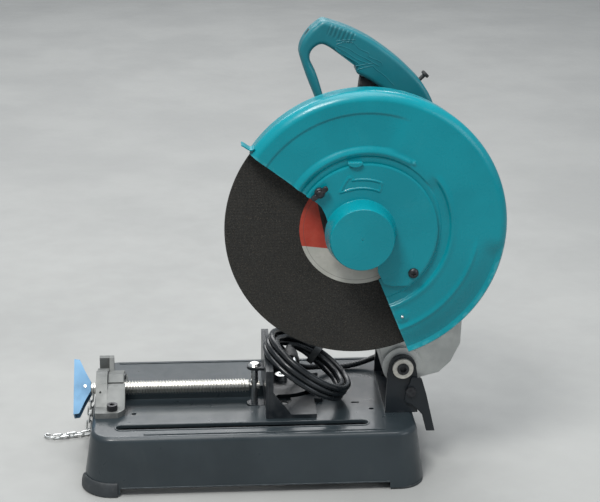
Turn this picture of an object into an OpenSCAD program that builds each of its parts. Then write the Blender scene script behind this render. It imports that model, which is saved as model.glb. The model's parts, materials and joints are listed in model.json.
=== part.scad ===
// Portable abrasive cut-off saw: pressed base, screw vise, tilting head with a toothed gear pair.
// Millimetres. Origin on the floor under the middle of the base, +X towards the hinge, +Z up.

/* [Base] */
// Half length of the base at its lower edge
base_half_l = 235; // [234:1:236]
// Half width of the base at its lower edge
base_half_w = 142; // [141:1:144]
// Height of the work surface
base_top = 82; // [82:1:82]
// Thickness of the pressed sheet
sheet = 2.5; // [2:0.5:3]
// Width of the slot that the wheel drops into
kerf_w = 14; // [10:1:16]
// Radius of the two bench bolt holes
bench_hole_r = 3.5; // [3:0.25:4.5]

/* [Wheel] */
// Radius of the abrasive wheel
wheel_r = 177.5; // [170:0.5:178]
// Thickness of the abrasive wheel
wheel_t = 3; // [2.4:0.2:3.2]
// Radius of the paper label on the wheel
label_r = 78; // [60:1:80]
// Radius of the clamping flanges
flange_r = 52; // [50:1:56]

/* [Head] */
// Radius of the pivot shaft
pivot_r = 8; // [7:0.5:8]
// Radius of the motor housing
motor_r = 62; // [62:1:64]
// Outer radius of the wheel guard
guard_r = 190; // [189:1:192]
// Thickness of the guard sheet
guard_t = 2; // [1.6:0.2:2.4]

/* [Vise] */
// Height of the fence above the work surface
fence_h = 72; // [60:2:72]
// Radius of the vise screw
screw_r = 10; // [9:0.5:10]
// Pitch of the vise screw
screw_pitch = 4; // [3:0.5:5]

/* [Cord] */
// Diameter of the mains cord
cord_d = 8.5; // [7.5:0.5:9.5]

/* [Hidden] */
$fn = 64;
fit = 0.05;
// pivot line of the head and the spindle line of the wheel, both along Y
px = 209;
pz = 150.5;
sx = 138;
sz = 368;
// motor line, one gear centre distance from the spindle
gear_module = 1.5;
teeth_gear = 52;
teeth_pinion = 9;
centre_dist = gear_module * (teeth_gear + teeth_pinion) / 2;
motor_angle = 50;
mx = sx + centre_dist * cos(motor_angle);
mz = sz + centre_dist * sin(motor_angle);
// wheel plane
wy = -99;
wheel_front = wy - wheel_t / 2;
wheel_back = wy + wheel_t / 2;
// guard circle
gx = 146;
gz = 373;
guard_from = -67.5;
guard_to = 144.7;
// centre cover
ccx = 146;
ccz = 370;
cover_r = 95;
boss_x = 138.7;
boss_z = 369.4;
swing_x = 210.4;
swing_z = 313.2;
wing_x = 83.7;
wing_z = 427.5;
// vise
vy = -3;
vz = 99;
pin_x = 4;
jaw_face = 22;
// fence pivot
fpx = 45;
fpy = 40;
clamp_r = 60;
clamp_x = fpx + clamp_r * cos(-45);
clamp_y = fpy + clamp_r * sin(-45);
// coil
coil_c = [78.2, -16.1, 135.9];
coil_tilt = 33.5;
coil_mean = 62;
cord_r = cord_d / 2;

teal = [0.02, 0.5, 0.56];
dark = [0.2, 0.24, 0.28];
black = [0.06, 0.06, 0.07];
steel = [0.6, 0.6, 0.58];
zinc = [0.75, 0.75, 0.72];
alloy = [0.66, 0.67, 0.66];
brass_c = [0.75, 0.6, 0.3];
copper = [0.7, 0.4, 0.2];
abrasive = [0.14, 0.12, 0.11];

// ---- helpers ----

// round bar along Y between two depths
module rod_y(x, z, y0, y1, r) {
  translate([x, y1, z]) rotate([90, 0, 0]) cylinder(h = y1 - y0, r = r);
}

// round bar along X
module rod_x(y, z, x0, x1, r) {
  translate([x0, y, z]) rotate([0, 90, 0]) cylinder(h = x1 - x0, r = r);
}

// outline in X and Z, as thick as the two depths
module plate_y(y0, y1) {
  translate([0, y1, 0]) rotate([90, 0, 0]) linear_extrude(height = y1 - y0) children();
}

// outline in Y and Z, between two X positions
module plate_x(x0, x1) {
  translate([x0, 0, 0]) rotate([90, 0, 90]) linear_extrude(height = x1 - x0) children();
}

// flat slot shape with round ends, along X
module stadium(x0, x1, y, w) {
  translate([x0 + w / 2, y]) circle(r = w / 2);
  translate([x1 - w / 2, y]) circle(r = w / 2);
  translate([x0 + w / 2, y - w / 2]) square([x1 - x0 - w, w]);
}

// block with sloping sides and cone corners
module sloped_block(hx, hy, r, inset, z0, z1) {
  for (ix = [-1, 1]) {
    for (iy = [-1, 1]) {
      translate([ix * (hx - r), iy * (hy - r), z0]) cylinder(h = z1 - z0, r1 = r, r2 = r - inset);
    }
  }
  rotate([90, 0, 0]) linear_extrude(height = 2 * (hy - r), center = true)
    polygon([[-hx, z0], [hx, z0], [hx - inset, z1], [inset - hx, z1]]);
  rotate([90, 0, 90]) linear_extrude(height = 2 * (hx - r), center = true)
    polygon([[-hy, z0], [hy, z0], [hy - inset, z1], [inset - hy, z1]]);
}

// wedge of angles about a point in X and Z
module sector(x, z, a0, a1, r) {
  steps = 12;
  polygon(concat([[x, z]], [for (i = [0:steps])
    [x + r * cos(a0 + (a1 - a0) * i / steps), z + r * sin(a0 + (a1 - a0) * i / steps)]]));
}

// gear outline with straight-sided teeth
module gear_2d(teeth, half_pitch, half_tip, half_root) {
  pitch_r = gear_module * teeth / 2;
  tip_r = pitch_r + 1.2;
  root_r = pitch_r - 1.9;
  circle(r = root_r + 0.02, $fn = 96);
  for (i = [0:teeth - 1]) {
    rotate(360 * i / teeth) polygon([[root_r - 0.6, -half_root], [pitch_r, -half_pitch],
      [tip_r, -half_tip], [tip_r, half_tip], [pitch_r, half_pitch], [root_r - 0.6, half_root]]);
  }
}

// socket head bolt pointing up, head on the plane z = 0
module cap_bolt(head_r, head_h, shank_r, shank_l) {
  difference() {
    cylinder(h = head_h, r = head_r);
    translate([0, 0, head_h * 0.45]) cylinder(h = head_h, r = head_r * 0.5, $fn = 6);
  }
  translate([0, 0, -shank_l]) cylinder(h = shank_l, r = shank_r);
}

// ---- base ----

corner_r = 34;
leg_extra = 1.2;
module pan_outer(off) {
  sloped_block(base_half_l + leg_extra - off, base_half_w + leg_extra - off, corner_r + leg_extra - off,
    11.2, 3, 77);
  sloped_block(base_half_l - 10 - off, base_half_w - 10 - off, corner_r - 10 - off, 4, 77, base_top);
}

// floor of the trough that the jaw runs in
trough_z = 64;
module trough_2d() {
  polygon([[-188, -60], [-178, -60], [-168, -37], [30, -37], [30, 31], [-188, 31]]);
}

module trough_wall_2d() {
  polygon([[-190.5, -62.5], [-176.4, -62.5], [-166.4, -39.5], [32.5, -39.5], [32.5, 33.5], [-190.5, 33.5]]);
}

bench_x = 168;
bench_y = -55;
module base_pan() {
  color(dark) difference() {
    union() {
      difference() {
        pan_outer(0);
        sloped_block(base_half_l + leg_extra - sheet, base_half_w + leg_extra - sheet,
          corner_r + leg_extra - sheet, 11.2, 2.99, 77);
        sloped_block(base_half_l - 10 - sheet, base_half_w - 10 - sheet, corner_r - 10 - sheet,
          2, 76.99, base_top - sheet);
      }
      translate([0, 0, trough_z - 2]) linear_extrude(height = base_top - sheet - trough_z + 2.1) trough_wall_2d();
      translate([0, 0, base_top]) linear_extrude(height = 1.2) stadium(-153, 180, -121, 3);
      translate([0, 0, base_top]) linear_extrude(height = 1.2) stadium(-196, 180, 121, 3);
    }
    translate([0, 0, trough_z]) linear_extrude(height = 30) trough_2d();
    translate([0, 0, 60]) linear_extrude(height = 30) stadium(-191, 158, wy, kerf_w);
    translate([0, 0, 60]) linear_extrude(height = 30) stadium(141, 153, -33, 4);
    for (ix = [-1, 1]) translate([ix * bench_x, bench_y, 60]) cylinder(h = 30, r = bench_hole_r);
    translate([-186, -200, 0]) cube([372, 400, 11]);
    translate([-300, -96, 0]) cube([600, 192, 11]);
    translate([-198, vy - 54, 60]) cylinder(h = 30, r = 4);
    translate([-189.5, vy + 54, 60]) cylinder(h = 30, r = 4);
    for (iy = [-1, 1]) for (ix = [199, 219]) translate([ix, iy * 48, 60]) cylinder(h = 30, r = 3);
    translate([fpx, fpy, 60]) cylinder(h = 30, r = 5);
    translate([clamp_x, clamp_y, 60]) cylinder(h = 30, r = 5);
    translate([fpx, -30, 60]) cylinder(h = 30, r = 6);
  }
}

// rubber cap round one lower corner
module corner_cap(ix, iy) {
  color(black) difference() {
    intersection() {
      sloped_block(base_half_l + 5, base_half_w + 5, corner_r + 5, 5, 0, 34);
      translate([ix > 0 ? 190 : -300, iy > 0 ? 100 : -300, 0]) cube([110, 200, 34]);
    }
    pan_outer(-0.1);
  }
}

module foot_front_near() corner_cap(-1, -1);
module foot_front_far() corner_cap(-1, 1);

// thin rubber pad under one rear corner
module corner_pad(iy) {
  color(black) intersection() {
    sloped_block(base_half_l + 1.3, base_half_w + 1.3, corner_r + 1.3, 0.1, 0, 3);
    translate([187, iy > 0 ? 97 : -300, 0]) cube([110, 203, 3]);
  }
}

module foot_rear_near() corner_pad(-1);
module foot_rear_far() corner_pad(1);

// ---- head pivot ----

upright_in = 64;
module pivot_bracket() {
  color(dark) difference() {
    union() {
      translate([186, -70, base_top]) cube([46, 140, 5]);
      for (iy = [-1, 1]) {
        plate_y(iy > 0 ? upright_in : -70, iy > 0 ? 70 : -upright_in) {
          polygon([[186, 83], [232, 83], [230, 140], [228, 150.5], [190, 150.5], [188, 140]]);
          translate([px, pz]) circle(r = 19);
        }
      }
    }
    rod_y(px, pz, -80, 80, pivot_r + fit);
    rod_y(221, 116, -80, 80, 4);
    for (iy = [-1, 1]) for (ix = [199, 219]) translate([ix, iy * 48, 80]) cylinder(h = 10, r = 3);
  }
}

module pivot_bracket_bolts() {
  color(black) for (iy = [-1, 1]) for (ix = [199, 219])
    translate([ix, iy * 48, base_top + 5]) cap_bolt(5, 5, 2.95, 15);
}

module pivot_shaft() {
  color(black) difference() {
    union() {
      rod_y(px, pz, -76, 80, pivot_r);
      rod_y(px, pz, -76, -74, pivot_r + 0.4);
      plate_y(74, 80) translate([px, pz]) circle(r = 12, $fn = 6);
    }
    plate_y(-77, -71) translate([px, pz]) circle(r = 5, $fn = 6);
  }
}

module pivot_ring() {
  color(zinc) difference() {
    rod_y(px, pz, -74, -70, 14.7);
    rod_y(px, pz, -75, -69, pivot_r);
  }
}

module return_spring() {
  color(black) {
    for (i = [0:4]) translate([px, 24 + 6.4 * i, pz]) rotate([90, 0, 0])
      rotate_extrude($fn = 48) translate([20, 0]) circle(r = 3.3, $fn = 24);
    rod_y(px + 20, pz, 49, 63.9, 3.2);
  }
}

module spark_guard() {
  color(black) difference() {
    union() {
      for (iy = [-1, 1]) {
        plate_y(iy > 0 ? 70.4 : -73.4, iy > 0 ? 73.4 : -70.4)
          polygon([[213, 100], [214, 110], [222, 137], [236, 135], [243, 112], [257, 54], [245, 54],
            [238, 80], [231, 88], [222, 96]]);
      }
      plate_y(-73.4, 73.4) polygon([[239.5, 112], [243, 112], [257, 54], [253.5, 54]]);
    }
    rod_y(221, 116, -80, 80, 4 + fit);
  }
}

module spark_guard_bolts() {
  color(black) for (iy = [-1, 1]) {
    rod_y(221, 116, iy > 0 ? 64.1 : -76.6, iy > 0 ? 76.6 : -64.1, 4);
    rod_y(221, 116, iy > 0 ? 73.5 : -77, iy > 0 ? 77 : -73.5, 7);
  }
}

// ---- vise ----

module fence() {
  top_z = base_top + fence_h;
  color(dark) difference() {
    union() {
      translate([jaw_face + 0.3, -81, base_top + 0.3]) cube([5, 156, top_z - base_top - 0.3]);
      translate([jaw_face + 0.3, -81, base_top + 0.3]) cube([66, 141, 5.7]);
      translate([jaw_face + 0.3, -30, base_top + 0.3]) cube([78, 90, 5.7]);
      for (y0 = [-81, 55]) plate_y(y0, y0 + 5) polygon([[27, 87.9], [52, 87.9], [27, 120]]);
    }
    translate([fpx, fpy, 80]) cylinder(h = 20, r = 6 + fit);
    translate([fpx, fpy, 80]) linear_extrude(height = 20) clamp_slot_2d();
    translate([0, 0, 80]) linear_extrude(height = 20) {
      translate([45, -37]) circle(r = 10);
      translate([45, -24]) circle(r = 10);
      translate([35, -37]) square([20, 13]);
    }
  }
}

// arc slot that the clamping bolt runs in
module clamp_slot_2d() {
  intersection() {
    difference() {
      circle(r = clamp_r + 6);
      circle(r = clamp_r - 6);
    }
    polygon([[0, 0], [120 * cos(-94), 120 * sin(-94)], [120 * cos(-68), 120 * sin(-68)],
      [120 * cos(-41), 120 * sin(-41)]]);
  }
  translate([clamp_r * cos(-94), clamp_r * sin(-94)]) circle(r = 6);
  translate([clamp_r * cos(-41), clamp_r * sin(-41)]) circle(r = 6);
}

module fence_pivot_bolt() {
  color(black) {
    translate([fpx, fpy, 64]) cylinder(h = 24.3, r = 4.9);
    translate([fpx, fpy, base_top]) cylinder(h = 6.3, r = 6);
    translate([fpx, fpy, base_top + 6.3]) cap_bolt(9, 8, 4, 2);
  }
}

module fence_clamp_bolt() {
  color(black) {
    translate([clamp_x, clamp_y, 64]) cylinder(h = 24.3, r = 4.9);
    translate([clamp_x, clamp_y, base_top + 6.3]) cap_bolt(9, 8, 4, 2);
  }
}

module vise_bracket() {
  color(alloy) difference() {
    union() {
      plate_x(-222, -206) {
        polygon([[-68, 82], [-68, 90], [-48, 91], [-24, 115], [20, 116], [38, 112], [44, 90], [62, 90],
          [62, 82]]);
        translate([vy, vz]) circle(r = 25);
      }
      plate_x(-206.1, -181)
        polygon([[-68, 82], [-68, 90], [-48, 91], [-30, 107], [-15, 111], [-15, 82]]);
      plate_x(-206.1, -181) polygon([[36, 82], [36, 90], [62, 90], [62, 82]]);
    }
    rod_x(vy, vz, -230, -170, screw_r + fit);
    rod_x(32, 102, -219, -200, 3);
    translate([-198, vy - 54, 70]) cylinder(h = 30, r = 4);
    translate([-189.5, vy + 54, 70]) cylinder(h = 30, r = 4);
    translate([-198, vy - 54, 90.5]) cylinder(h = 30, r = 8.2);
    translate([-240, -80, 60]) cube([80, 43.5, base_top - 60]);
    translate([-240, 30.5, 60]) cube([80, 60, base_top - 60]);
    translate([-240, -80, 60]) cube([50, 160, base_top - 60]);
  }
}

module vise_bracket_bolts() {
  color(black) {
    translate([-198, vy - 54, 90.5]) cap_bolt(7.5, 8, 3.95, 24);
    translate([-189.5, vy + 54, 90]) cap_bolt(7.5, 8, 3.95, 24);
  }
}

module nut_pin() {
  color(steel) rod_x(32, 102, -219, -183, 3);
}

module vise_nut() {
  color(black) difference() {
    union() {
      rod_x(32, 102, -205.5, -183.5, 8);
      plate_x(-205.5, -183.5)
        polygon([[-12, 103], [-12, 112], [2, 118], [32, 110], [39, 104], [34, 95], [16, 95], [8, 99]]);
      plate_x(-205.5, -199) polygon([[30, 104], [42, 104], [54, 122], [50, 127], [43, 126], [34, 112]]);
      plate_x(-220, -199) polygon([[45.2, 108], [50, 108], [54, 122], [50, 127], [45.2, 125]]);
    }
    rod_x(vy, vz, -230, -170, screw_r + 0.3);
    rod_x(32, 102, -230, -170, 3 + fit);
  }
}

module vise_screw() {
  color(zinc) {
    rod_x(vy, vz, -228, -5, screw_r);
    rod_x(vy, vz, -251, -228, 7);
    rod_x(vy, vz, -5, 11, 3.4);
    rod_x(vy, vz, 9.3, 12, 6);
  }
}

// long direction of the winged handle, turned about the screw
handle_roll = -42;
module handle_wing_2d() {
  polygon([[-254, -41], [-246, -40], [-238, -22], [-230, -7], [-230, 7], [-238, 22], [-246, 40], [-254, 41]]);
}

module vise_handle() {
  color(teal) difference() {
    translate([0, vy, vz]) rotate([handle_roll, 0, 0]) {
      plate_y(-11, -9) handle_wing_2d();
      plate_y(9, 11) handle_wing_2d();
      translate([-254, -11, -41]) cube([2, 22, 82]);
      rod_x(0, 0, -252.1, -230, 9.1);
    }
    rod_x(vy, vz, -251, -220, 7);
    translate([0, vy, vz]) rotate([handle_roll, 0, 0]) rod_y(-238, 0, -15, 15, 2);
  }
}

module handle_pin() {
  color(steel) translate([0, vy, vz]) rotate([handle_roll, 0, 0]) {
    rod_y(-238, 0, -12, -7, 2);
    rod_y(-238, 0, 7, 12, 2);
  }
}

module clevis_pin() {
  color(zinc) difference() {
    union() {
      translate([pin_x, vy, 65]) cylinder(h = 66, r = 5);
      translate([pin_x, vy, 130.4]) cylinder(h = 3.2, r1 = 9, r2 = 6);
      translate([pin_x, vy, vz - 8]) cylinder(h = 16, r = 5.2);
    }
    rod_x(vy, vz, -10, 20, 3.4 + fit);
  }
}

module jaw_plate() {
  color(black) difference() {
    union() {
      translate([jaw_face - 5, -81, base_top + 0.3]) cube([5, 156, fence_h - 0.3]);
      for (z0 = [67.5, 126]) {
        translate([0, 0, z0]) linear_extrude(height = 4) {
          translate([pin_x, vy]) circle(r = 11);
          translate([pin_x, vy - 11]) square([jaw_face - 5 - pin_x, 22]);
        }
      }
      translate([jaw_face - 5, vy - 11, 67.5]) cube([5, 22, 20]);
    }
    translate([pin_x, vy, 60]) cylinder(h = 80, r = 5 + fit);
    rod_x(vy, vz, 0, 18.5, 8);
  }
}

// ---- chain ----

link_wire = 1.5;
link_half = 4.4;
link_w = 2.9;
module chain_link() {
  for (i = [-1, 1]) {
    translate([0, i * link_w, 0]) rotate([0, 90, 0])
      cylinder(h = 2 * link_half, r = link_wire, center = true, $fn = 16);
    translate([i * link_half, 0, 0]) rotate([0, 0, i > 0 ? -90 : 90])
      rotate_extrude(angle = 180, $fn = 16) translate([link_w, 0]) circle(r = link_wire, $fn = 16);
  }
}

chain_pitch = 11;
module chain_hanging() {
  color(zinc) {
    rod_x(45, 73, -236, -225.7, 1.6);
    translate([-234, 45, 70.3]) rotate([90, 0, 0]) rotate_extrude($fn = 24) translate([3.4, 0])
      circle(r = 1.5, $fn = 16);
    for (i = [0:4]) translate([-234.4 - 1.3 * i, 45, 62.3 - chain_pitch * i]) rotate([0, 90, 0])
      rotate([i % 2 == 0 ? 0 : 90, 0, 0]) chain_link();
  }
}

module chain_tail() {
  color(zinc) {
    for (i = [0:4]) translate([-244.6 - 10.2 * i, 45 - 0.6 * i, 4.6])
      rotate([i % 2 == 0 ? 90 : 0, 0, 3]) chain_link();
    translate([-298, 42, 4.6]) rotate([0, 0, 0]) rotate_extrude($fn = 32) translate([7.5, 0])
      circle(r = 1.6, $fn = 16);
  }
}

// ---- head castings ----

module arm_outline_2d() {
  polygon([[181.5, 155], [168, 220], [142, 280], [100, 340], [98, 400], [150, 455], [206, 446],
    [262, 400], [286, 320], [292, 240], [291, 182], [278, 154], [262, 138], [236, 131], [212, 124]]);
}

module arm_housing() {
  color(alloy) difference() {
    union() {
      rod_y(px, pz, -63.5, 16, 28);
      rod_y(px, pz, 15, 63.5, 12);
      plate_y(-58, -14) arm_outline_2d();
      rod_y(sx, sz, -86, -30, 50);
      rod_y(mx, mz, -58, -28, 66);
      difference() {
        plate_y(-80, -75) intersection() {
          translate([gx, gz]) circle(r = guard_r - guard_t - 0.6);
          sector(sx, sz, guard_from, guard_to, 320);
        }
        rod_y(sx, sz, -90, -70, 48);
      }
    }
    // hollow side of the arm web, open to the far side
    plate_y(-50, -13) difference() {
      polygon([[196, 190], [178, 236], [155, 285], [150, 300], [205, 330], [262, 330], [280, 290],
        [285, 240], [283, 186], [270, 162], [255, 150], [240, 146], [236, 172], [216, 186]]);
      polygon([[232, 140], [240, 140], [236, 340], [228, 340]]);
    }
    rod_y(px, pz, -70, 70, pivot_r + fit);
    // gear chamber
    rod_y(sx, sz, -66, -20, 43.6);
    rod_y(mx, mz, -66, -20, 12);
    rod_y(mx, mz, -42.1, -20, 19.2);
    rod_y(mx, mz, -34, -20, 58.1);
    rod_y(mx, mz, -28, -10, 66.5);
    // front bearing seat and nose hole
    rod_y(sx, sz, -84, -60, 26);
    rod_y(sx, sz, -90, -60, 16);
  }
}

module gear_cover() {
  color(alloy) difference() {
    union() {
      rod_y(mx, mz, -34, -28, 57.9);
      rod_y(sx, sz, -34, -28, 43.4);
      rod_y(sx, sz, -44, -30, 21);
      rod_y(mx, mz, -42, -30, 19);
    }
    rod_y(sx, sz, -45, -32, 17.5);
    rod_y(mx, mz, -43, -31, 16);
    rod_y(mx, mz, -50, -20, 8);
  }
}

module spindle_bearings() {
  color(steel) {
    difference() {
      rod_y(sx, sz, -84, -68, 26);
      rod_y(sx, sz, -85, -67, 12.5 + fit);
    }
    difference() {
      rod_y(sx, sz, -44, -32, 17.5);
      rod_y(sx, sz, -45, -31, 8 + fit);
    }
  }
}

module armature_bearings() {
  color(steel) {
    difference() {
      rod_y(mx, mz, -42, -31, 16);
      rod_y(mx, mz, -43, -30, 7 + fit);
    }
    difference() {
      rod_y(mx, mz, 112, 122, 13);
      rod_y(mx, mz, 111, 123, 5 + fit);
    }
  }
}

module motor_housing() {
  color(teal) difference() {
    union() {
      rod_y(mx, mz, -28, 106, motor_r);
      for (a = [35, 145, 215, 325]) rod_y(mx + 60 * cos(a), mz + 60 * sin(a), 20, 106, 6);
    }
    rod_y(mx, mz, -29, 107, motor_r - 4);
    for (i = [0:5]) translate([mx, 86, mz]) rotate([0, 240 + 14 * i, 0]) translate([50, -12, -1.6])
      cube([20, 24, 3.2]);
    for (i = [-1, 1]) translate([mx, 92, mz]) rotate([0, i * 90, 0]) {
      translate([0, 0, 40]) cylinder(h = 30, r = 7);
      translate([0, 0, 60]) cylinder(h = 10, r = 9);
    }
  }
}

module motor_end_cover() {
  color(teal) difference() {
    union() {
      rod_y(mx, mz, 106, 128, motor_r);
      rod_y(mx, mz, 127.9, 134, motor_r - 8);
      for (a = [35, 145, 215, 325]) rod_y(mx + 60 * cos(a), mz + 60 * sin(a), 106, 118, 6);
    }
    rod_y(mx, mz, 105, 124, motor_r - 4);
    rod_y(mx, mz, 120, 129, motor_r - 12);
    for (i = [0:6]) translate([mx - 36 + 12 * i - 2, 128, mz - 26]) cube([4, 10, 52]);
  }
  color(teal) difference() {
    union() {
      rod_y(mx, mz, 110, 124, 16);
      for (a = [0, 90, 180, 270]) translate([mx, 112, mz]) rotate([0, a, 0]) translate([14, 0, -3])
        cube([44.2, 12, 6]);
    }
    rod_y(mx, mz, 109, 122, 13);
    rod_y(mx, mz, 121, 125, 8);
  }
}

module stator() {
  color(steel) difference() {
    rod_y(mx, mz, 4, 68, motor_r - 4.2);
    rod_y(mx, mz, 3, 69, 31);
    for (a = [0, 180]) plate_y(3, 69) translate([mx, mz]) rotate(a) translate([36, -16]) square([14, 32]);
  }
}

module brush_caps() {
  color(black) for (i = [-1, 1]) {
    translate([mx, 92, mz]) rotate([0, i * 90, 0]) {
      translate([0, 0, 41]) cylinder(h = 20, r = 7);
      translate([0, 0, 60]) cylinder(h = 4.5, r = 9);
    }
    translate([mx + i * 31, 92, mz]) cube([24, 9, 6], center = true);
  }
}

module armature_shaft() {
  color(steel) {
    rod_y(mx, mz, -46, 122, 5);
    rod_y(mx, mz, -45, 8, 7);
    translate([mx, -46, mz]) rotate([90, 0, 0]) linear_extrude(height = 18)
      rotate(pinion_phase) gear_2d(teeth_pinion, 0.82, 0.5, 1.0);
  }
}

module armature_core() {
  color(steel) difference() {
    rod_y(mx, mz, 8, 70, 29);
    rod_y(mx, mz, 7, 71, 5);
    for (i = [0:11]) plate_y(7, 71) translate([mx, mz]) rotate(30 * i) translate([25, -1.2]) square([6, 2.4]);
  }
}

module commutator() {
  color(copper) difference() {
    rod_y(mx, mz, 80, 104, 17.5);
    rod_y(mx, mz, 79, 105, 5);
  }
}

module fan() {
  color(black) difference() {
    union() {
      rod_y(mx, mz, -22, -8, 12);
      rod_y(mx, mz, -22, -19, 50);
      for (i = [0:8]) translate([mx, -19.1, mz]) rotate([0, 40 * i, 0]) translate([10, 0, -1])
        cube([38, 11, 2]);
    }
    rod_y(mx, mz, -23, -7, 7);
  }
}

// ---- spindle and wheel ----

gear_phase = 0;
pinion_phase = 18.9;
module spindle() {
  color(steel) difference() {
    union() {
      rod_y(sx, sz, -104, -90, 12.65);
      rod_y(sx, sz, -90, -86, 15);
      rod_y(sx, sz, -86, -66, 12.5);
      rod_y(sx, sz, -66, -46, 11);
      rod_y(sx, sz, -46, -32.5, 8);
    }
    rod_y(sx, sz, -105, -84, 5);
  }
}

module large_gear() {
  color(steel) difference() {
    translate([sx, -48, sz]) rotate([90, 0, 0]) linear_extrude(height = 14)
      rotate(gear_phase) gear_2d(teeth_gear, 0.9, 0.5, 1.3);
    rod_y(sx, sz, -63, -47, 11);
  }
}

module inner_flange() {
  color(steel) difference() {
    union() {
      rod_y(sx, sz, wheel_back, wheel_back + 5, flange_r);
      rod_y(sx, sz, wheel_back, -88, 24);
    }
    rod_y(sx, sz, wheel_back - 1, -90, 12.65);
    rod_y(sx, sz, -90.1, -87, 15);
    rod_y(sx, sz, wheel_back - 1, wheel_back + 1, 38);
  }
}

module outer_flange() {
  color(steel) difference() {
    rod_y(sx, sz, wheel_front - 5, wheel_front, flange_r);
    rod_y(sx, sz, wheel_front - 6, wheel_front + 1, 12.65);
    rod_y(sx, sz, wheel_front - 1, wheel_front + 1, 38);
  }
}

module wheel_bolt() {
  color(steel) {
    rod_y(sx, sz, wheel_front - 7.5, wheel_front - 5, 15);
    plate_y(wheel_front - 14, wheel_front - 7.5) translate([sx, sz]) circle(r = 9.8, $fn = 6);
    rod_y(sx, sz, wheel_front - 8, -85, 5);
  }
}

module abrasive_wheel() {
  color(abrasive) difference() {
    rod_y(sx, sz, wheel_front, wheel_back, wheel_r);
    rod_y(sx, sz, wheel_front - 1, wheel_back + 1, 12.65);
  }
}

module wheel_label() {
  color([0.75, 0.72, 0.68]) difference() {
    rod_y(sx, sz, wheel_front - 0.4, wheel_front, label_r);
    rod_y(sx, sz, wheel_front - 1, wheel_front + 1, flange_r + 0.2);
  }
}

// ---- guard ----

module guard_ring_2d() {
  // radius and depth of the pressed guard's wall, in the turning plane
  polygon([[guard_r, -75], [guard_r, -112], [guard_r - 3, -118], [guard_r - 9, -120.5], [163, -120.5],
    [159, -119], [155, -120.5], [150, -123], [112, -123], [106, -120.5], [70, -120.5],
    [70, -120.5 + guard_t], [107, -120.5 + guard_t], [113, -123 + guard_t], [149, -123 + guard_t],
    [154, -120.5 + guard_t], [159, -119 + guard_t], [164, -120.5 + guard_t],
    [guard_r - 10, -120.5 + guard_t], [guard_r - 5, -117], [guard_r - guard_t, -112], [guard_r - guard_t, -75]]);
}

module wheel_guard() {
  color(teal) difference() {
    intersection() {
      translate([gx, 0, gz]) rotate([90, 0, 0]) rotate([0, 0, 0]) mirror([0, 0, 1])
        rotate_extrude($fn = 128) guard_ring_2d();
      plate_y(-140, -60) sector(sx, sz, guard_from, guard_to, 320);
    }
    rod_y(swing_x, swing_z, -130, -110, 2.95);
    rod_y(wing_x, wing_z, -130, -110, 3 + fit);
  }
}

module cover_2d() {
  difference() {
    translate([ccx, ccz]) circle(r = cover_r);
    polygon([[130, 345], [99, 383], [94, 396], [76, 419], [20, 440], [20, 240], [250, 240],
      [212, 292], [174, 297], [162, 314]]);
  }
  translate([boss_x, boss_z]) circle(r = 53);
}

module center_cover() {
  color(teal) difference() {
    union() {
      plate_y(-126.5, -125) cover_2d();
      translate([boss_x, -126, boss_z]) rotate([90, 0, 0]) cylinder(h = 29, r1 = 50, r2 = 42);
    }
    translate([boss_x, -124, boss_z]) rotate([90, 0, 0]) cylinder(h = 29.5, r1 = 48.5, r2 = 40.4);
    rod_y(swing_x, swing_z, -130, -120, 3 + fit);
    plate_y(-130, -120) {
      translate([wing_x, wing_z]) circle(r = 3.8);
      translate([wing_x, wing_z]) rotate(228) translate([0, -3.4]) square([30, 6.8]);
    }
  }
}

module cover_screw() {
  color(black) difference() {
    union() {
      rod_y(swing_x, swing_z, -127, -112, 2.95);
      rod_y(swing_x, swing_z, -131, -126.6, 7);
      rod_y(swing_x, swing_z, -124.9, -123.1, 5);
    }
    plate_y(-132, -129) translate([swing_x - 4, swing_z - 1]) square([8, 2]);
    plate_y(-132, -129) translate([swing_x - 1, swing_z - 4]) square([2, 8]);
  }
}

module wing_bolt() {
  color(black) {
    rod_y(wing_x, wing_z, -128, -112, 3);
    rod_y(wing_x, wing_z, -133, -126.7, 6.5);
    for (a = [40, 220]) plate_y(-140, -130) translate([wing_x, wing_z]) rotate(a)
      polygon([[3, -2], [14, -1.6], [16, 0], [14, 1.6], [3, 2]]);
  }
}

// ---- handle ----

module handle_outline_2d() {
  difference() {
    polygon([[84, 635], [92, 636], [105, 630], [124, 624], [144, 616], [164, 604], [192, 585], [215, 564.5],
      [228, 551], [240, 532], [249, 508], [254, 484], [252, 466], [236, 448], [100, 440], [92, 470],
      [92, 510], [84, 533], [75, 556], [67, 581], [64.5, 592], [74, 612]]);
    polygon([[94.7, 531], [87.6, 558], [84, 576], [89, 588], [100, 594.5], [108, 590], [125, 576],
      [141, 562], [142, 553], [168, 543], [190, 524], [194, 512], [176, 500], [112, 500]]);
    translate([mx, mz]) circle(r = 66.2);
  }
}

module switch_room_2d() {
  polygon([[150, 560], [196, 528], [206, 510], [228, 500], [238, 512], [226, 538], [205, 556], [170, 576]]);
}

module trigger_gap_2d() {
  polygon([[142, 566], [140, 530], [186, 512], [204, 512], [214, 526], [208, 546], [170, 566]]);
}

module handle_shell(y0, y1, in0, in1) {
  color(teal) difference() {
    plate_y(y0, y1) handle_outline_2d();
    plate_y(in0, in1) switch_room_2d();
    plate_y(in0, in1) trigger_gap_2d();
    plate_y(-27, -13) polygon([[208, 540], [238, 572], [246, 564], [216, 532]]);
    for (p = [[92, 612], [236, 480], [108, 484]]) rod_y(p[0], p[1], -40, 0, 2);
    for (p = [[92, 612], [236, 480], [108, 484]]) rod_y(p[0], p[1], -40, -34, 4.2);
    plate_y(-24, -16) polygon([[60, 600], [72, 590], [82, 612], [76, 622]]);
    translate([247, -20, 488]) rotate([0, 125, 0]) cylinder(h = 20, r = 10.5);
  }
}

module handle_near_shell() handle_shell(-38, -20, -31, -19);
module handle_far_shell() handle_shell(-20, -2, -21, -9);

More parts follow.
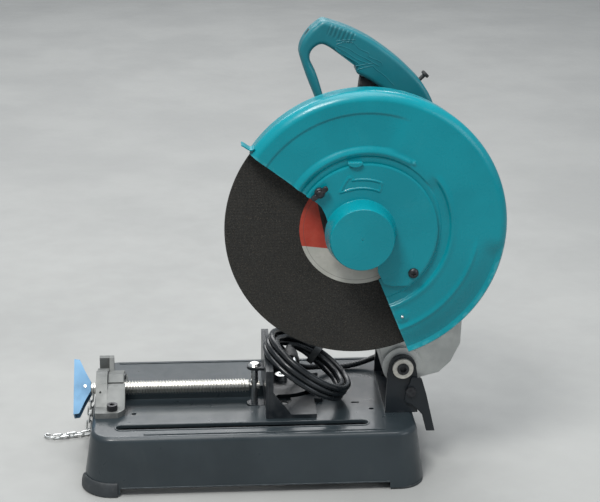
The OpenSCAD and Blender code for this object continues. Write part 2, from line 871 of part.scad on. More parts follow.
module handle_screws() {
  color(steel) for (p = [[92, 612], [236, 480], [108, 484]]) {
    rod_y(p[0], p[1], -36, -4, 1.95);
    rod_y(p[0], p[1], -38, -35.5, 4);
  }
}

module hook_plate() {
  color(black) plate_y(-23.9, -16.1) polygon([[72, 590.5], [81.5, 611.5], [76, 621], [70, 612], [66, 600]]);
}

module switch_body() {
  color(black) plate_y(-30, -10)
    polygon([[206, 550], [222, 538], [232, 514], [226, 504], [217, 508], [216, 526], [209, 547]]);
}

module trigger() {
  color(black) difference() {
    plate_y(-28, -12)
      polygon([[145, 556], [142.5, 536], [160, 530], [186, 516], [202, 515], [210, 527], [204, 544], [172, 555]]);
    rod_y(203, 531, -30, -10, 3 + fit);
  }
}

module lock_off_button() {
  color(black) translate([228, -20, 553]) rotate([0, 45, 0]) {
    translate([0, 0, -4]) cylinder(h = 12, r = 3);
    translate([0, 0, 7.9]) cylinder(h = 3.6, r = 6);
  }
}

module strain_relief() {
  color(black) {
    translate([247, -20, 488]) rotate([0, 125, 0]) {
      cylinder(h = 11, r = 10.5);
      translate([0, 0, 10.9]) cylinder(h = 31, r1 = 8.5, r2 = 5.6);
    }
  }
}

// ---- cord ----

// route of the cord from the handle down to the coil
lead_pts = [[281.7, -20, 463.7], [295, -18, 452], [305, -5, 425], [305, 20, 380], [298, 50, 310],
  [285, 72, 240], [262, 84, 180], [235, 90, 135], [205, 92, 106], [175, 90, 92], [145, 84, 87],
  [118, 75, 90], [101, 67, 94.5], [83, 56, 99], [65, 47, 109], [52, 43.1, 122.5], [47.4, 42.3, 134.4]];
lead_steps = 3;

function lead_knot(i) = lead_pts[min(max(i, 0), len(lead_pts) - 1)];
function smooth_point(i, t) = 0.5 * ((2 * lead_knot(i)) + (lead_knot(i + 1) - lead_knot(i - 1)) * t
  + (2 * lead_knot(i - 1) - 5 * lead_knot(i) + 4 * lead_knot(i + 1) - lead_knot(i + 2)) * t * t
  + (3 * lead_knot(i) - lead_knot(i - 1) - 3 * lead_knot(i + 1) + lead_knot(i + 2)) * t * t * t);
lead_path = concat([for (i = [0:len(lead_pts) - 2]) for (s = [0:lead_steps - 1]) smooth_point(i, s / lead_steps)],
  [lead_pts[len(lead_pts) - 1]]);
lead_n = len(lead_path);
function unit(v) = v / norm(v);
function lead_dir(i) = unit(lead_path[min(i + 1, lead_n - 1)] - lead_path[max(i - 1, 0)]);
function lead_side(i) = unit(cross(lead_dir(i), [0, 1, 0.15]));
function lead_up(i) = cross(lead_side(i), lead_dir(i));
ring_n = 10;
lead_rings = [for (i = [0:lead_n - 1]) for (k = [0:ring_n - 1])
  lead_path[i] + cord_r * (cos(360 * k / ring_n) * lead_side(i) + sin(360 * k / ring_n) * lead_up(i))];
lead_faces = concat(
  [[for (k = [0:ring_n - 1]) k]],
  [[for (k = [0:ring_n - 1]) (lead_n - 1) * ring_n + ring_n - 1 - k]],
  [for (i = [0:lead_n - 2]) for (k = [0:ring_n - 1])
    [i * ring_n + k, (i + 1) * ring_n + k, (i + 1) * ring_n + (k + 1) % ring_n, i * ring_n + (k + 1) % ring_n]]);

module cord_lead() {
  color(black) polyhedron(points = lead_rings, faces = lead_faces, convexity = 6);
}

module cord_coil() {
  color(black) translate(coil_c) rotate([0, coil_tilt, 0]) rotate_extrude($fn = 96) {
    translate([coil_mean, 4]) circle(r = 9, $fn = 32);
    translate([coil_mean, -4]) circle(r = 9, $fn = 32);
    translate([coil_mean - 9, -4]) square([18, 8]);
  }
}

// plug lying inside the coil, with its end of the cord
module cord_plug() {
  color(black) translate(coil_c) rotate([0, coil_tilt, 0]) translate([-28, -10, 0]) {
    rod_y(0, 0, -16, 20, 12);
    rod_y(0, 0, 20, 34, 7);
    rod_y(0, 0, 34, 57, cord_r);
  }
  color(zinc) translate(coil_c) rotate([0, coil_tilt, 0]) for (i = [-1, 1])
    translate([-28, -10, i * 6]) rod_y(0, 0, -32, -15, 2.4);
}

base_pan();
foot_front_near();
foot_front_far();
foot_rear_near();
foot_rear_far();
pivot_bracket();
pivot_bracket_bolts();
pivot_shaft();
pivot_ring();
return_spring();
spark_guard();
spark_guard_bolts();
fence();
fence_pivot_bolt();
fence_clamp_bolt();
vise_bracket();
vise_bracket_bolts();
vise_nut();
nut_pin();
vise_screw();
vise_handle();
handle_pin();
clevis_pin();
jaw_plate();
chain_hanging();
chain_tail();
arm_housing();
gear_cover();
motor_housing();
motor_end_cover();
stator();
brush_caps();
spindle_bearings();
armature_bearings();
wheel_guard();
handle_near_shell();
handle_far_shell();
handle_screws();
hook_plate();
switch_body();
strain_relief();
cover_screw();
armature_shaft();
armature_core();
commutator();
fan();
spindle();
large_gear();
inner_flange();
outer_flange();
wheel_bolt();
abrasive_wheel();
wheel_label();
center_cover();
wing_bolt();
trigger();
lock_off_button();
cord_lead();
cord_coil();
cord_plug();
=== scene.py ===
# Looks of the cut-off saw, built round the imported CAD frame.
# Lengths given to the helpers are in millimetres, the objects themselves are in metres.
import json
import math

import bmesh
import bpy
import numpy as np
from mathutils import Matrix, Vector

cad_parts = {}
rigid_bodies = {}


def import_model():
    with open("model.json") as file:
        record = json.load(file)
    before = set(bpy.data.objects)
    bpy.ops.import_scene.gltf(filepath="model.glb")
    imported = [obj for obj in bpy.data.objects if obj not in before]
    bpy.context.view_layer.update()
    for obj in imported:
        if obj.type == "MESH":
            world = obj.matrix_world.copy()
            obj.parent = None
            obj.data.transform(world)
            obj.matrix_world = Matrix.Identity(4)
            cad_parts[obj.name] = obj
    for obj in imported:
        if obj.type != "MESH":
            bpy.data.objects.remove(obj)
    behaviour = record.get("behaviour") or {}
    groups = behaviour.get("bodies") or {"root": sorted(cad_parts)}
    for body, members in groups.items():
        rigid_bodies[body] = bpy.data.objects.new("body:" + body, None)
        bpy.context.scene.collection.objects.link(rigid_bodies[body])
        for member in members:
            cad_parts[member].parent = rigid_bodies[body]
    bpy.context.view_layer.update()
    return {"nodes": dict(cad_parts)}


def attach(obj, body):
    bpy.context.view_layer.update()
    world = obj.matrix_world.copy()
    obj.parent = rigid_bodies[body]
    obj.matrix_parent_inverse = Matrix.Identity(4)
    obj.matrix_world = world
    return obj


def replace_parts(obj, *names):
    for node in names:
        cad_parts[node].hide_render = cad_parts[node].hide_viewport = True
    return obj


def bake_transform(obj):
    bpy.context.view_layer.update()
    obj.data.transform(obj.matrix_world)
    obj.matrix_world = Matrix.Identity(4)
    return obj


for o in list(bpy.data.objects):
    bpy.data.objects.remove(o)
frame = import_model()
nodes = frame["nodes"]
MM = 0.001

# lines along Y, each as x and z in millimetres
SX, SZ = 138.0, 368.0  # spindle
GX, GZ = 146.0, 373.0  # middle of the guard
CX, CZ = 146.0, 370.0  # middle of the centre cover
BX, BZ = 138.7, 369.4  # boss of the centre cover
MX, MZ = 167.4, 403.0  # motor
HX, HZ = 209.0, 150.5  # hinge of the head
WX, WZ = 83.7, 427.5  # wing bolt
PX, PZ = 210.4, 313.2  # pivot screw of the centre cover
VY, VZ = -3.0, 99.0  # vise screw, along X
WHEEL_FRONT, WHEEL_BACK = -100.5, -97.5
KERF_Y = -99

# ---------------------------------------------------------------- camera
YAW, PITCH, ROLL = math.radians(4.2), math.radians(19.5), math.radians(0.5)
cam_data = bpy.data.cameras.new("view_camera")
cam = bpy.data.objects.new("view_camera", cam_data)
bpy.context.scene.collection.objects.link(cam)
fwd = Vector((math.sin(YAW) * math.cos(PITCH), math.cos(YAW) * math.cos(PITCH), -math.sin(PITCH)))
right = Vector((math.cos(YAW), -math.sin(YAW), 0))
up = right.cross(fwd)
side = right * math.cos(ROLL) + up * math.sin(ROLL)
top = up * math.cos(ROLL) - right * math.sin(ROLL)
turn = Matrix((side, top, -fwd)).transposed().to_4x4()
cam.matrix_world = Matrix.Translation((-0.077, -1.98, 1.005)) @ turn
cam_data.sensor_width = 36
cam_data.lens = 90
cam_data.clip_start, cam_data.clip_end = 0.05, 60
bpy.context.scene.camera = cam
bpy.context.scene.view_settings.view_transform = "Standard"


# ---------------------------------------------------------------- materials
class Nodes:
    """A material with a Principled shader and short calls for its procedural nodes."""

    def __init__(self, name, **values):
        self.mat = bpy.data.materials.new(name)
        self.mat.use_nodes = True
        self.tree = self.mat.node_tree
        self.tree.nodes.clear()
        out = self.add("ShaderNodeOutputMaterial")
        self.bsdf = self.add("ShaderNodeBsdfPrincipled")
        self.link(self.bsdf.outputs[0], out.inputs[0])
        self.coords = self.add("ShaderNodeTexCoord").outputs["Object"]
        for k, v in values.items():
            self.bsdf.inputs[k.replace("_", " ")].default_value = v

    def add(self, kind):
        return self.tree.nodes.new(kind)

    def link(self, a, b):
        self.tree.links.new(a, b)

    def put(self, socket, value):
        if hasattr(value, "is_linked"):
            self.link(value, socket)
        elif isinstance(value, tuple) and len(value) == 3 and socket.type == "RGBA":
            socket.default_value = (*value, 1)
        else:
            socket.default_value = value

    def noise(self, scale, detail=4, rough=0.55, stretch=None, distortion=0.0):
        n = self.add("ShaderNodeTexNoise")
        n.inputs["Scale"].default_value = scale
        n.inputs["Detail"].default_value = detail
        n.inputs["Roughness"].default_value = rough
        n.inputs["Distortion"].default_value = distortion
        self.link(self.scaled(stretch), n.inputs["Vector"])
        return n.outputs[0]

    def scaled(self, stretch):
        if stretch is None:
            return self.coords
        m = self.add("ShaderNodeMapping")
        m.inputs["Scale"].default_value = stretch
        self.link(self.coords, m.inputs["Vector"])
        return m.outputs[0]

    def cells(self, scale):
        n = self.add("ShaderNodeTexVoronoi")
        n.inputs["Scale"].default_value = scale
        self.link(self.coords, n.inputs["Vector"])
        return n

    def ramp(self, value, a, b, low=0.0, high=1.0):
        r = self.add("ShaderNodeMapRange")
        r.interpolation_type = "SMOOTHSTEP"
        self.put(r.inputs[0], value)
        for i, v in enumerate((a, b, low, high)):
            r.inputs[i + 1].default_value = v
        return r.outputs[0]

    def math(self, kind, a, b=0.0):
        n = self.add("ShaderNodeMath")
        n.operation = kind
        self.put(n.inputs[0], a)
        self.put(n.inputs[1], b)
        return n.outputs[0]

    def mix(self, factor, a, b):
        n = self.add("ShaderNodeMix")
        n.data_type = "RGBA"
        self.put(n.inputs[0], factor)
        self.put(n.inputs[6], a)
        self.put(n.inputs[7], b)
        return n.outputs[2]

    def drift(self, noise, a, b, low, high):
        """Two colours mixed by a noise."""
        return self.mix(self.ramp(noise, a, b), low, high)

    def layer(self, colour, mask, amount, over):
        """A colour laid over another where a mask says so."""
        return self.mix(self.math("MULTIPLY", mask, amount), colour, over)

    def shine(self, noise, low, high):
        """Roughness that wanders between two values."""
        return self.ramp(noise, 0.3, 0.7, low, high)

    def product(self, *values):
        out = values[0]
        for v in values[1:]:
            out = self.math("MULTIPLY", out, v)
        return out

    def wave(self, along, period):
        return self.math("SINE", self.math("MULTIPLY", along, 2 * math.pi / period))

    def axis(self, which):
        n = self.add("ShaderNodeSeparateXYZ")
        self.link(self.coords, n.inputs[0])
        return n.outputs["XYZ".index(which)]

    def plane(self, a, b, c):
        """a*x + b*z + c of the object coordinates, in metres."""
        xs = self.math("MULTIPLY", self.axis("X"), a)
        zs = self.math("MULTIPLY", self.axis("Z"), b)
        return self.math("ADD", self.math("ADD", xs, zs), c)

    def bump(self, height, distance, strength=1.0, below=None):
        n = self.add("ShaderNodeBump")
        n.inputs["Distance"].default_value = distance
        n.inputs["Strength"].default_value = strength
        self.link(height, n.inputs["Height"])
        if below is not None:
            self.link(below, n.inputs["Normal"])
        return n.outputs[0]

    def edges(self, a=0.53, b=0.62):
        """Where the surface is a sharp outward edge, broken up by noise."""
        g = self.add("ShaderNodeNewGeometry")
        edge_wear_and_highlight = self.ramp(g.outputs["Pointiness"], a, b)
        return self.math("MULTIPLY", edge_wear_and_highlight, self.ramp(self.noise(90, 5), 0.4, 0.62))

    def done(self, colour=None, rough=None, normal=None, metallic=None):
        for key, value in (("Base Color", colour), ("Roughness", rough), ("Metallic", metallic)):
            if value is not None:
                self.put(self.bsdf.inputs[key], value)
        if normal is not None:
            self.link(normal, self.bsdf.inputs["Normal"])
        return self.mat


def painted(name, low, high, dust, rough=(0.25, 0.42), peel=0.00012, coat=0.25, edge_wear_and_highlight=None, edge_wear_and_highlight_amount=0.5):
    """Sprayed paint: slow colour drift, orange peel, fine dust in the hollows and edges lightened, partly as wear
    and partly as a painted highlight.
    """
    m = Nodes(name, Coat_Weight=coat, Coat_Roughness=0.12, Specular_IOR_Level=0.3)
    colour = m.drift(m.noise(9, 5), 0.35, 0.65, low, high)
    colour = m.layer(colour, m.ramp(m.noise(420, 3), 0.62, 0.78), 0.08, dust)
    colour = m.layer(colour, m.ramp(m.noise(16, 6, 0.7, (1, 1, 0.35), 1.5), 0.52, 0.75), 0.05, dust)
    # convex edges lightened: partly wear, partly a painted highlight
    if edge_wear_and_highlight is not None:
        colour = m.layer(colour, m.edges(), edge_wear_and_highlight_amount, edge_wear_and_highlight)
    return m.done(colour, m.shine(m.noise(30, 6, 0.65, None, 0.8), *rough),
                  m.bump(m.noise(260, 2, 0.4), peel, 0.35))


def plated(name, low, high, rough=(0.22, 0.4), stretch=(1, 1, 1), metallic=1.0, scale=60, scratch=0.00003):
    """Bright zinc or ground steel: crystal patches, fine scratches and dull spots."""
    m = Nodes(name, Metallic=metallic)
    colour = m.drift(m.cells(scale * 3).outputs["Distance"], 0.0, 0.9, low, high)
    colour = m.layer(colour, m.ramp(m.noise(35, 6), 0.55, 0.72), 0.3, tuple(v * 0.45 for v in low))
    lines = m.noise(700, 3, 0.6, stretch)
    return m.done(colour, m.shine(m.noise(scale, 6, 0.7), *rough), m.bump(lines, scratch, 0.5))


def cast(name, low, high, rough=(0.42, 0.62), metallic=0.65, pits=0.00025, scale=380):
    """Sand or die cast metal: pebbled skin, grey drift and bright edges, partly rubbed wear and partly a painted
    highlight.
    """
    m = Nodes(name, Metallic=metallic)
    colour = m.drift(m.noise(22, 6), 0.35, 0.68, low, high)
    # convex edges lightened: partly rubbed wear, partly a painted highlight
    colour = m.layer(colour, m.edges(0.52, 0.6), 0.6, tuple(min(1, v * 1.5) for v in high))
    stains = m.ramp(m.noise(12, 7, 0.7, None, 1.2), 0.55, 0.7)
    colour = m.layer(colour, stains, 0.22, tuple(v * 0.35 for v in low))
    skin = m.bump(m.noise(scale, 4, 0.6), pits, 0.5)
    return m.done(colour, m.shine(m.noise(45, 5), *rough), m.bump(m.noise(60, 3), 0.0006, 0.15, skin))


def moulded(name, low, high, rough=(0.45, 0.62), grain=0.00012, scale=900, dust=(0.35, 0.34, 0.31), dusty=0.15):
    """Moulded plastic or rubber: fine grain, scuffs and a little dust."""
    m = Nodes(name)
    colour = m.drift(m.noise(24, 5), 0.35, 0.65, low, high)
    colour = m.layer(colour, m.ramp(m.noise(70, 7, 0.7), 0.5, 0.72), dusty, dust)
    grains = m.bump(m.cells(scale).outputs["Distance"], grain, 0.5)
    return m.done(colour, m.shine(m.noise(40, 6, 0.7), *rough), grains)


TEAL_LOW, TEAL_HIGH, TEAL_DUST = (0.001, 0.205, 0.25), (0.0015, 0.235, 0.285), (0.10, 0.36, 0.38)
# for teal_paint, base_paint and black_paint the last colour and amount lighten the edges, partly as wear and
# partly as a painted highlight
teal_paint = painted("teal_paint", TEAL_LOW, TEAL_HIGH, TEAL_DUST, (0.22, 0.34), 0.00008, 0.1,
                     (0.1, 0.40, 0.44), 0.3)
teal_plastic = painted("teal_plastic", (0.0015, 0.13, 0.16), (0.002, 0.155, 0.19), TEAL_DUST, (0.36, 0.5),
                       0.00016, 0.05)
base_paint = painted("base_paint", (0.020, 0.028, 0.033), (0.027, 0.037, 0.043), (0.13, 0.13, 0.12),
                     (0.27, 0.4), 0.0001, 0.25, (0.14, 0.16, 0.17), 0.3)
black_paint = painted("black_paint", (0.008, 0.011, 0.014), (0.014, 0.018, 0.022), (0.09, 0.09, 0.085),
                      (0.3, 0.46), 0.0001, 0.15, (0.12, 0.125, 0.13), 0.25)
grey_cast = cast("grey_cast", (0.43, 0.44, 0.43), (0.56, 0.57, 0.55))
bracket_cast = cast("bracket_cast", (0.12, 0.127, 0.124), (0.165, 0.172, 0.167), (0.45, 0.6), 0.3, 0.0002, 300)
zinc = plated("zinc", (0.62, 0.64, 0.64), (0.78, 0.79, 0.78))
blue_zinc = plated("blue_zinc", (0.085, 0.20, 0.33), (0.11, 0.245, 0.39), (0.45, 0.6), (1, 1, 1), 0.25, 8,
                   0.00001)
screw_steel = plated("screw_steel", (0.56, 0.55, 0.51), (0.66, 0.65, 0.61), (0.3, 0.4), (4, 1, 1), 1.0, 12,
                     0.000004)
steel = plated("steel", (0.42, 0.42, 0.41), (0.56, 0.56, 0.55), (0.25, 0.42), (1, 12, 1))
black_oxide = plated("black_oxide", (0.022, 0.023, 0.026), (0.045, 0.046, 0.05), (0.32, 0.5), (1, 1, 1), 0.6)
black_plastic = moulded("black_plastic", (0.010, 0.011, 0.012), (0.018, 0.019, 0.02))
rubber = moulded("rubber", (0.020, 0.024, 0.027), (0.032, 0.038, 0.042), (0.5, 0.7), 0.0001, 600,
                 (0.2, 0.2, 0.19), 0.18)
cord_rubber = moulded("cord_rubber", (0.006, 0.008, 0.010), (0.011, 0.014, 0.017), (0.22, 0.34), 0.00003, 1400,
                      (0.16, 0.17, 0.18), 0.06)
copper = plated("copper", (0.55, 0.24, 0.11), (0.72, 0.34, 0.18), (0.25, 0.4), (1, 10, 1))
ring_metal = plated("ring_metal", (0.50, 0.48, 0.43), (0.62, 0.60, 0.55), (0.3, 0.45), (1, 1, 1), 0.55)


def abrasive_material():
    """Resin-bonded grit under a glass mesh: dark brown, sparkling grains and a faint weave."""
    m = Nodes("abrasive", Specular_IOR_Level=0.35)
    tone = m.add("ShaderNodeSeparateColor")
    m.link(m.cells(1500).outputs["Color"], tone.inputs[0])
    colour = m.drift(m.noise(1100, 4, 0.7), 0.35, 0.7, (0.0085, 0.0083, 0.0075), (0.036, 0.035, 0.031))
    colour = m.layer(colour, m.ramp(tone.outputs[0], 0.94, 0.99), 0.5, (0.13, 0.10, 0.07))
    colour = m.layer(colour, m.ramp(tone.outputs[1], 0.975, 1.0), 0.3, (0.22, 0.215, 0.20))
    colour = m.layer(colour, m.ramp(m.noise(14, 5), 0.4, 0.7), 0.3, (0.030, 0.027, 0.023))
    fine = m.bump(m.cells(1300).outputs["Distance"], 0.0005, 0.7)
    mesh_size = 0.0042
    weave = m.math("ADD", m.wave(m.axis("X"), mesh_size), m.wave(m.axis("Z"), mesh_size))
    return m.done(colour, m.shine(m.noise(500, 4), 0.55, 0.85), m.bump(weave, 0.00022, 0.4, fine))


abrasive = abrasive_material()

# ---------------------------------------------------------------- mesh helpers
collection = bpy.context.scene.collection


def even_normals(o):
    """Shading normals led by the large faces, so that flat faces stay flat beside rounded edges."""
    m = o.modifiers.new("normals", "WEIGHTED_NORMAL")
    m.keep_sharp = True
    m.weight = 100


def make_object(name, mesh, material, body=None, smooth_deg=32):
    """A mesh object with smooth shading up to that angle, riding on a body."""
    o = bpy.data.objects.new(name, mesh)
    collection.objects.link(o)
    mesh.materials.clear()
    mesh.materials.append(material)
    mesh.polygons.foreach_set("use_smooth", [True] * len(mesh.polygons))
    mesh.set_sharp_from_angle(angle=math.radians(smooth_deg))
    even_normals(o)
    if body is not None:
        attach(o, body)
    return o


def cleaned(mesh, near=0.0):
    """The mesh with vertices nearer than that joined and its faces turned outwards."""
    bm = bmesh.new()
    bm.from_mesh(mesh)
    if near:
        bmesh.ops.remove_doubles(bm, verts=bm.verts, dist=near)
    bmesh.ops.recalc_face_normals(bm, faces=bm.faces)
    bm.to_mesh(mesh)
    bm.free()
    return mesh


def mesh_of(name, verts, faces):
    """A mesh from millimetre vertices."""
    mesh = bpy.data.meshes.new(name)
    mesh.from_pydata([tuple(c * MM for c in v) for v in verts], [], faces)
    mesh.validate()
    return cleaned(mesh)


def strips(rows, n, closed=False):
    """Quads between rows of n points, each row a ring; closed joins the last row to the first."""
    faces = []
    for i in range(rows if closed else rows - 1):
        j = (i + 1) % rows
        for k in range(n):
            l = (k + 1) % n
            faces.append((i * n + k, i * n + l, j * n + l, j * n + k))
    return faces


def frozen(o):
    """The object's mesh with its modifiers applied, and the object removed."""
    bpy.context.view_layer.update()
    mesh = bpy.data.meshes.new_from_object(o.evaluated_get(bpy.context.evaluated_depsgraph_get()))
    bpy.data.objects.remove(o)
    return mesh


def helper(name, mesh):
    o = bpy.data.objects.new(name, mesh)
    collection.objects.link(o)
    return o


def boolean(mesh, cutters, operation="DIFFERENCE"):
    """mesh with each cutter mesh taken away from it, kept of it or joined to it."""
    o = helper("work", mesh)
    others = []
    for i, c in enumerate(cutters):
        b = helper(f"cut{i}", c)
        others.append(b)
        m = o.modifiers.new(f"b{i}", "BOOLEAN")
        m.operation = operation
        m.solver = "EXACT"
        m.object = b
    out = frozen(o)
    for b in others:
        bpy.data.objects.remove(b)
    return out


def bevelled(mesh, width, segments=2, angle=35):
    """mesh with its sharp edges rounded."""
    o = helper("work", mesh)
    m = o.modifiers.new("bevel", "BEVEL")
    m.width = width * MM
    m.segments = segments
    m.limit_method = "ANGLE"
    m.angle_limit = math.radians(angle)
    m.use_clamp_overlap = True
    return frozen(o)


def welded(mesh):
    """A copy of a mesh with its split vertices joined."""
    bm = bmesh.new()
    bm.from_mesh(mesh)
    bmesh.ops.remove_doubles(bm, verts=bm.verts, dist=2e-6)
    out = bpy.data.meshes.new("welded")
    bm.to_mesh(out)
    bm.free()
    return out


def joined(meshes):
    """Several meshes as one."""
    bm = bmesh.new()
    for m in meshes:
        bm.from_mesh(m)
    out = bpy.data.meshes.new("joined")
    bm.to_mesh(out)
    bm.free()
    return out


def placed(axis, u, v, t):
    """The point that lies t along the axis and u, v across it."""
    return {"X": (t, u, v), "Y": (u, t, v), "Z": (u, v, t)}[axis]


def prism(points, a, b, axis="Y"):
    """Polygon of (x, z), (y, z) or (x, y) millimetre points, from a to b along the axis."""
    n = len(points)
    verts = [placed(axis, u, v, t) for t in (a, b) for u, v in points]
    faces = [tuple(range(n)), tuple(range(2 * n - 1, n - 1, -1))]
    faces += [(i, (i + 1) % n, n + (i + 1) % n, n + i) for i in range(n)]
    return mesh_of("prism", verts, faces)


def arc(cx, cy, r, a0, a1, steps):
    return [(cx + r * math.cos(math.radians(a0 + (a1 - a0) * i / steps)),
             cy + r * math.sin(math.radians(a0 + (a1 - a0) * i / steps))) for i in range(steps + 1)]


def lathe(profile, centre, axis="Y", steps=96, closed=True):
    """Profile of (radius, along) turned about a line through centre; closed joins its ends."""
    verts = []
    for r, t in profile:
        for k in range(steps):
            a = 2 * math.pi * k / steps
            verts.append(placed(axis, centre[0] + r * math.cos(a), centre[1] + r * math.sin(a), t))
    n = len(profile)
    faces = strips(n, steps, closed)
    if not closed:
        faces.append(tuple(range(steps)))
        faces.append(tuple((n - 1) * steps + k for k in range(steps)))
    return cleaned(mesh_of("lathe", verts, faces), 1e-6)


def smooth_path(points, steps=8, closed=False):
    """Catmull-Rom curve through the points."""
    p = [np.array(q, float) for q in points]
    n, out = len(p), []
    for i in range(n if closed else n - 1):
        a = p[(i - 1) % n] if closed else p[max(i - 1, 0)]
        b, c = p[i], p[(i + 1) % n]
        d = p[(i + 2) % n] if closed else p[min(i + 2, n - 1)]
        for s in range(steps):
            t = s / steps
            square, cube = 2 * a - 5 * b + 4 * c - d, 3 * b - a - 3 * c + d
            out.append(0.5 * (2 * b + (c - a) * t + square * t**2 + cube * t**3))
    if not closed:
        out.append(p[-1])
    return out


def tube(path, radius, sides=12, closed=False):
    """Round tube along a path in millimetres."""
    path = [Vector(p) for p in path]
    n = len(path)
    verts, faces, tangents = [], [], []
    for i in range(n):
        a = path[(i - 1) % n] if closed else path[max(i - 1, 0)]
        b = path[(i + 1) % n] if closed else path[min(i + 1, n - 1)]
        tangents.append((b - a).normalized())
    normal = tangents[0].orthogonal().normalized()
    frames = []
    for t in tangents:
        normal = (normal - t * normal.dot(t)).normalized()
        frames.append((normal.copy(), t.cross(normal)))
    for i in range(n):
        u, v = frames[i]
        for k in range(sides):
            a = 2 * math.pi * k / sides
            verts.append(tuple(path[i] + (u * math.cos(a) + v * math.sin(a)) * radius))
    for i in range(n if closed else n - 1):
        j = (i + 1) % n
        shift = 0
        if closed and j == 0:
            # the last ring meets the first one turned, so its nearest corner is found
            u, v = frames[i]
            turns = [2 * math.pi * s / sides for s in range(sides)]
            ways = [u * math.cos(t) + v * math.sin(t) for t in turns]
            shift = min(range(sides), key=lambda s: (ways[s] - frames[0][0]).length)
        for k in range(sides):
            l = (k + 1) % sides
            near, far = i * sides, j * sides
            faces.append((near + (k + shift) % sides, near + (l + shift) % sides, far + l, far + k))
    if not closed:
        faces.append(tuple(range(sides))[::-1])
        faces.append(tuple((n - 1) * sides + k for k in range(sides)))
    return mesh_of("tube", verts, faces)


smooth_group = None


def smooth_modifier(o):
    """Smooth shading up to 35 degrees as a modifier, for CAD nodes whose mesh stays as it is."""
    global smooth_group
    if smooth_group is None:
        g = bpy.data.node_groups.new("shade_by_angle", "GeometryNodeTree")
        g.interface.new_socket("Geometry", in_out="INPUT", socket_type="NodeSocketGeometry")
        g.interface.new_socket("Geometry", in_out="OUTPUT", socket_type="NodeSocketGeometry")
        a, b = g.nodes.new("NodeGroupInput"), g.nodes.new("NodeGroupOutput")
        f = g.nodes.new("GeometryNodeSetShadeSmooth")
        f.domain = "FACE"
        f.inputs["Shade Smooth"].default_value = True
        e = g.nodes.new("GeometryNodeSetShadeSmooth")
        e.domain = "EDGE"
        e.inputs["Shade Smooth"].default_value = False
        angle_node = g.nodes.new("GeometryNodeInputMeshEdgeAngle")
        more = g.nodes.new("ShaderNodeMath")
        more.operation = "GREATER_THAN"
        more.inputs[1].default_value = math.radians(35)
        g.links.new(angle_node.outputs[0], more.inputs[0])
        g.links.new(more.outputs[0], e.inputs["Selection"])
        g.links.new(a.outputs[0], f.inputs["Geometry"])
        g.links.new(f.outputs[0], e.inputs["Geometry"])
        g.links.new(e.outputs[0], b.inputs[0])
        smooth_group = g
    m = o.modifiers.new("shade", "NODES")
    m.node_group = smooth_group


def dress(names, material, bevel, segments=2):
    """A better material and softened edges on CAD nodes that keep their shape."""
    for name in names.split():
        o = nodes[name]
        o.data.materials.clear()
        o.data.materials.append(material)
        w = o.modifiers.new("weld", "WELD")
        w.merge_threshold = 2e-6
        b = o.modifiers.new("bevel", "BEVEL")
        b.width = bevel * MM
        b.segments = segments
        b.limit_method = "ANGLE"
        b.angle_limit = math.radians(38)
        smooth_modifier(o)
        even_normals(o)


# ---------------------------------------------------------------- cords
CORD_R = 4.25
lead_points = [(281.7, -20, 463.7), (295, -18, 452), (305, -5, 425), (305, 20, 380), (298, 50, 310),
               (285, 72, 240), (262, 84, 180), (235, 90, 135), (205, 92, 106), (175, 90, 92), (145, 84, 87),
               (118, 75, 90), (101, 67, 94.5), (83, 56, 99), (65, 47, 109), (52, 43.1, 122.5), (47.4, 42.3, 134.4)]
lead_path = smooth_path(lead_points, 6)
lead = make_object("mains_lead", tube(lead_path, CORD_R, 16), cord_rubber)
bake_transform(lead)
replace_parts(lead, "cord_lead")


COIL = Vector((78.2, -16.1, 135.9))
TILT = Matrix.Rotation(math.radians(33.5), 3, "Y")


def in_coil(p):
    """A point of the coil's own frame, with its third number along the coil's axis, in the row frame."""
    return tuple(COIL + TILT @ Vector(p))


# radius and height of each turn in the coil's section, from the lead's end to the plug
slots = [(65.4, -8.6), (65.6, 0.1), (65.2, 8.8), (56.9, 4.6), (56.6, -4.2)]
coil_local = [(-24.9, 58.4, -18.3), (-33.6, 54.6, -15.0)]
FIRST, LAST, STEP = 142.0, 1858.0, 9.0
a = FIRST
while a < LAST:
    u = (a - FIRST) / 360.0
    k = min(int(u), len(slots) - 1)
    e = max(0.0, min(1.0, (u - k - 0.74) / 0.26))
    e = e * e * (3 - 2 * e)
    (r0, h0), (r1, h1) = slots[k], slots[min(k + 1, len(slots) - 1)]
    rad = math.radians(a)
    loose = 0.3 * math.sin(2 * rad + 1.3 * k) + (1.6 if k > 2 else 0.0) * min(0, math.cos(rad + 0.5))
    start = min(1.0, (a - FIRST) / 60.0)
    r = r0 + (r1 - r0) * e + loose - 1.4 * (1 - start)
    h = h0 + (h1 - h0) * e + 0.35 * math.sin(3 * rad + k) - 4.0 * (1 - start) ** 2
    coil_local.append((r * math.cos(rad), r * math.sin(rad), h))
    a += STEP
# the last turn leaves the coil and bends in to the plug
for q in (88, 104, 121, 138, 155, 170, 180):
    rad = math.radians(q)
    coil_local.append((6 + 34 * math.cos(rad), 24 + 34 * math.sin(rad), -4.2 + 4.2 * max(0, (q - 90) / 90.0)))
coil_path = smooth_path([in_coil(p) for p in coil_local], 3)
coil = make_object("mains_coil", tube(coil_path, CORD_R, 16), cord_rubber, "fence_plate")


def moved_mesh(mesh, matrix):
    mesh.transform(matrix)
    return mesh


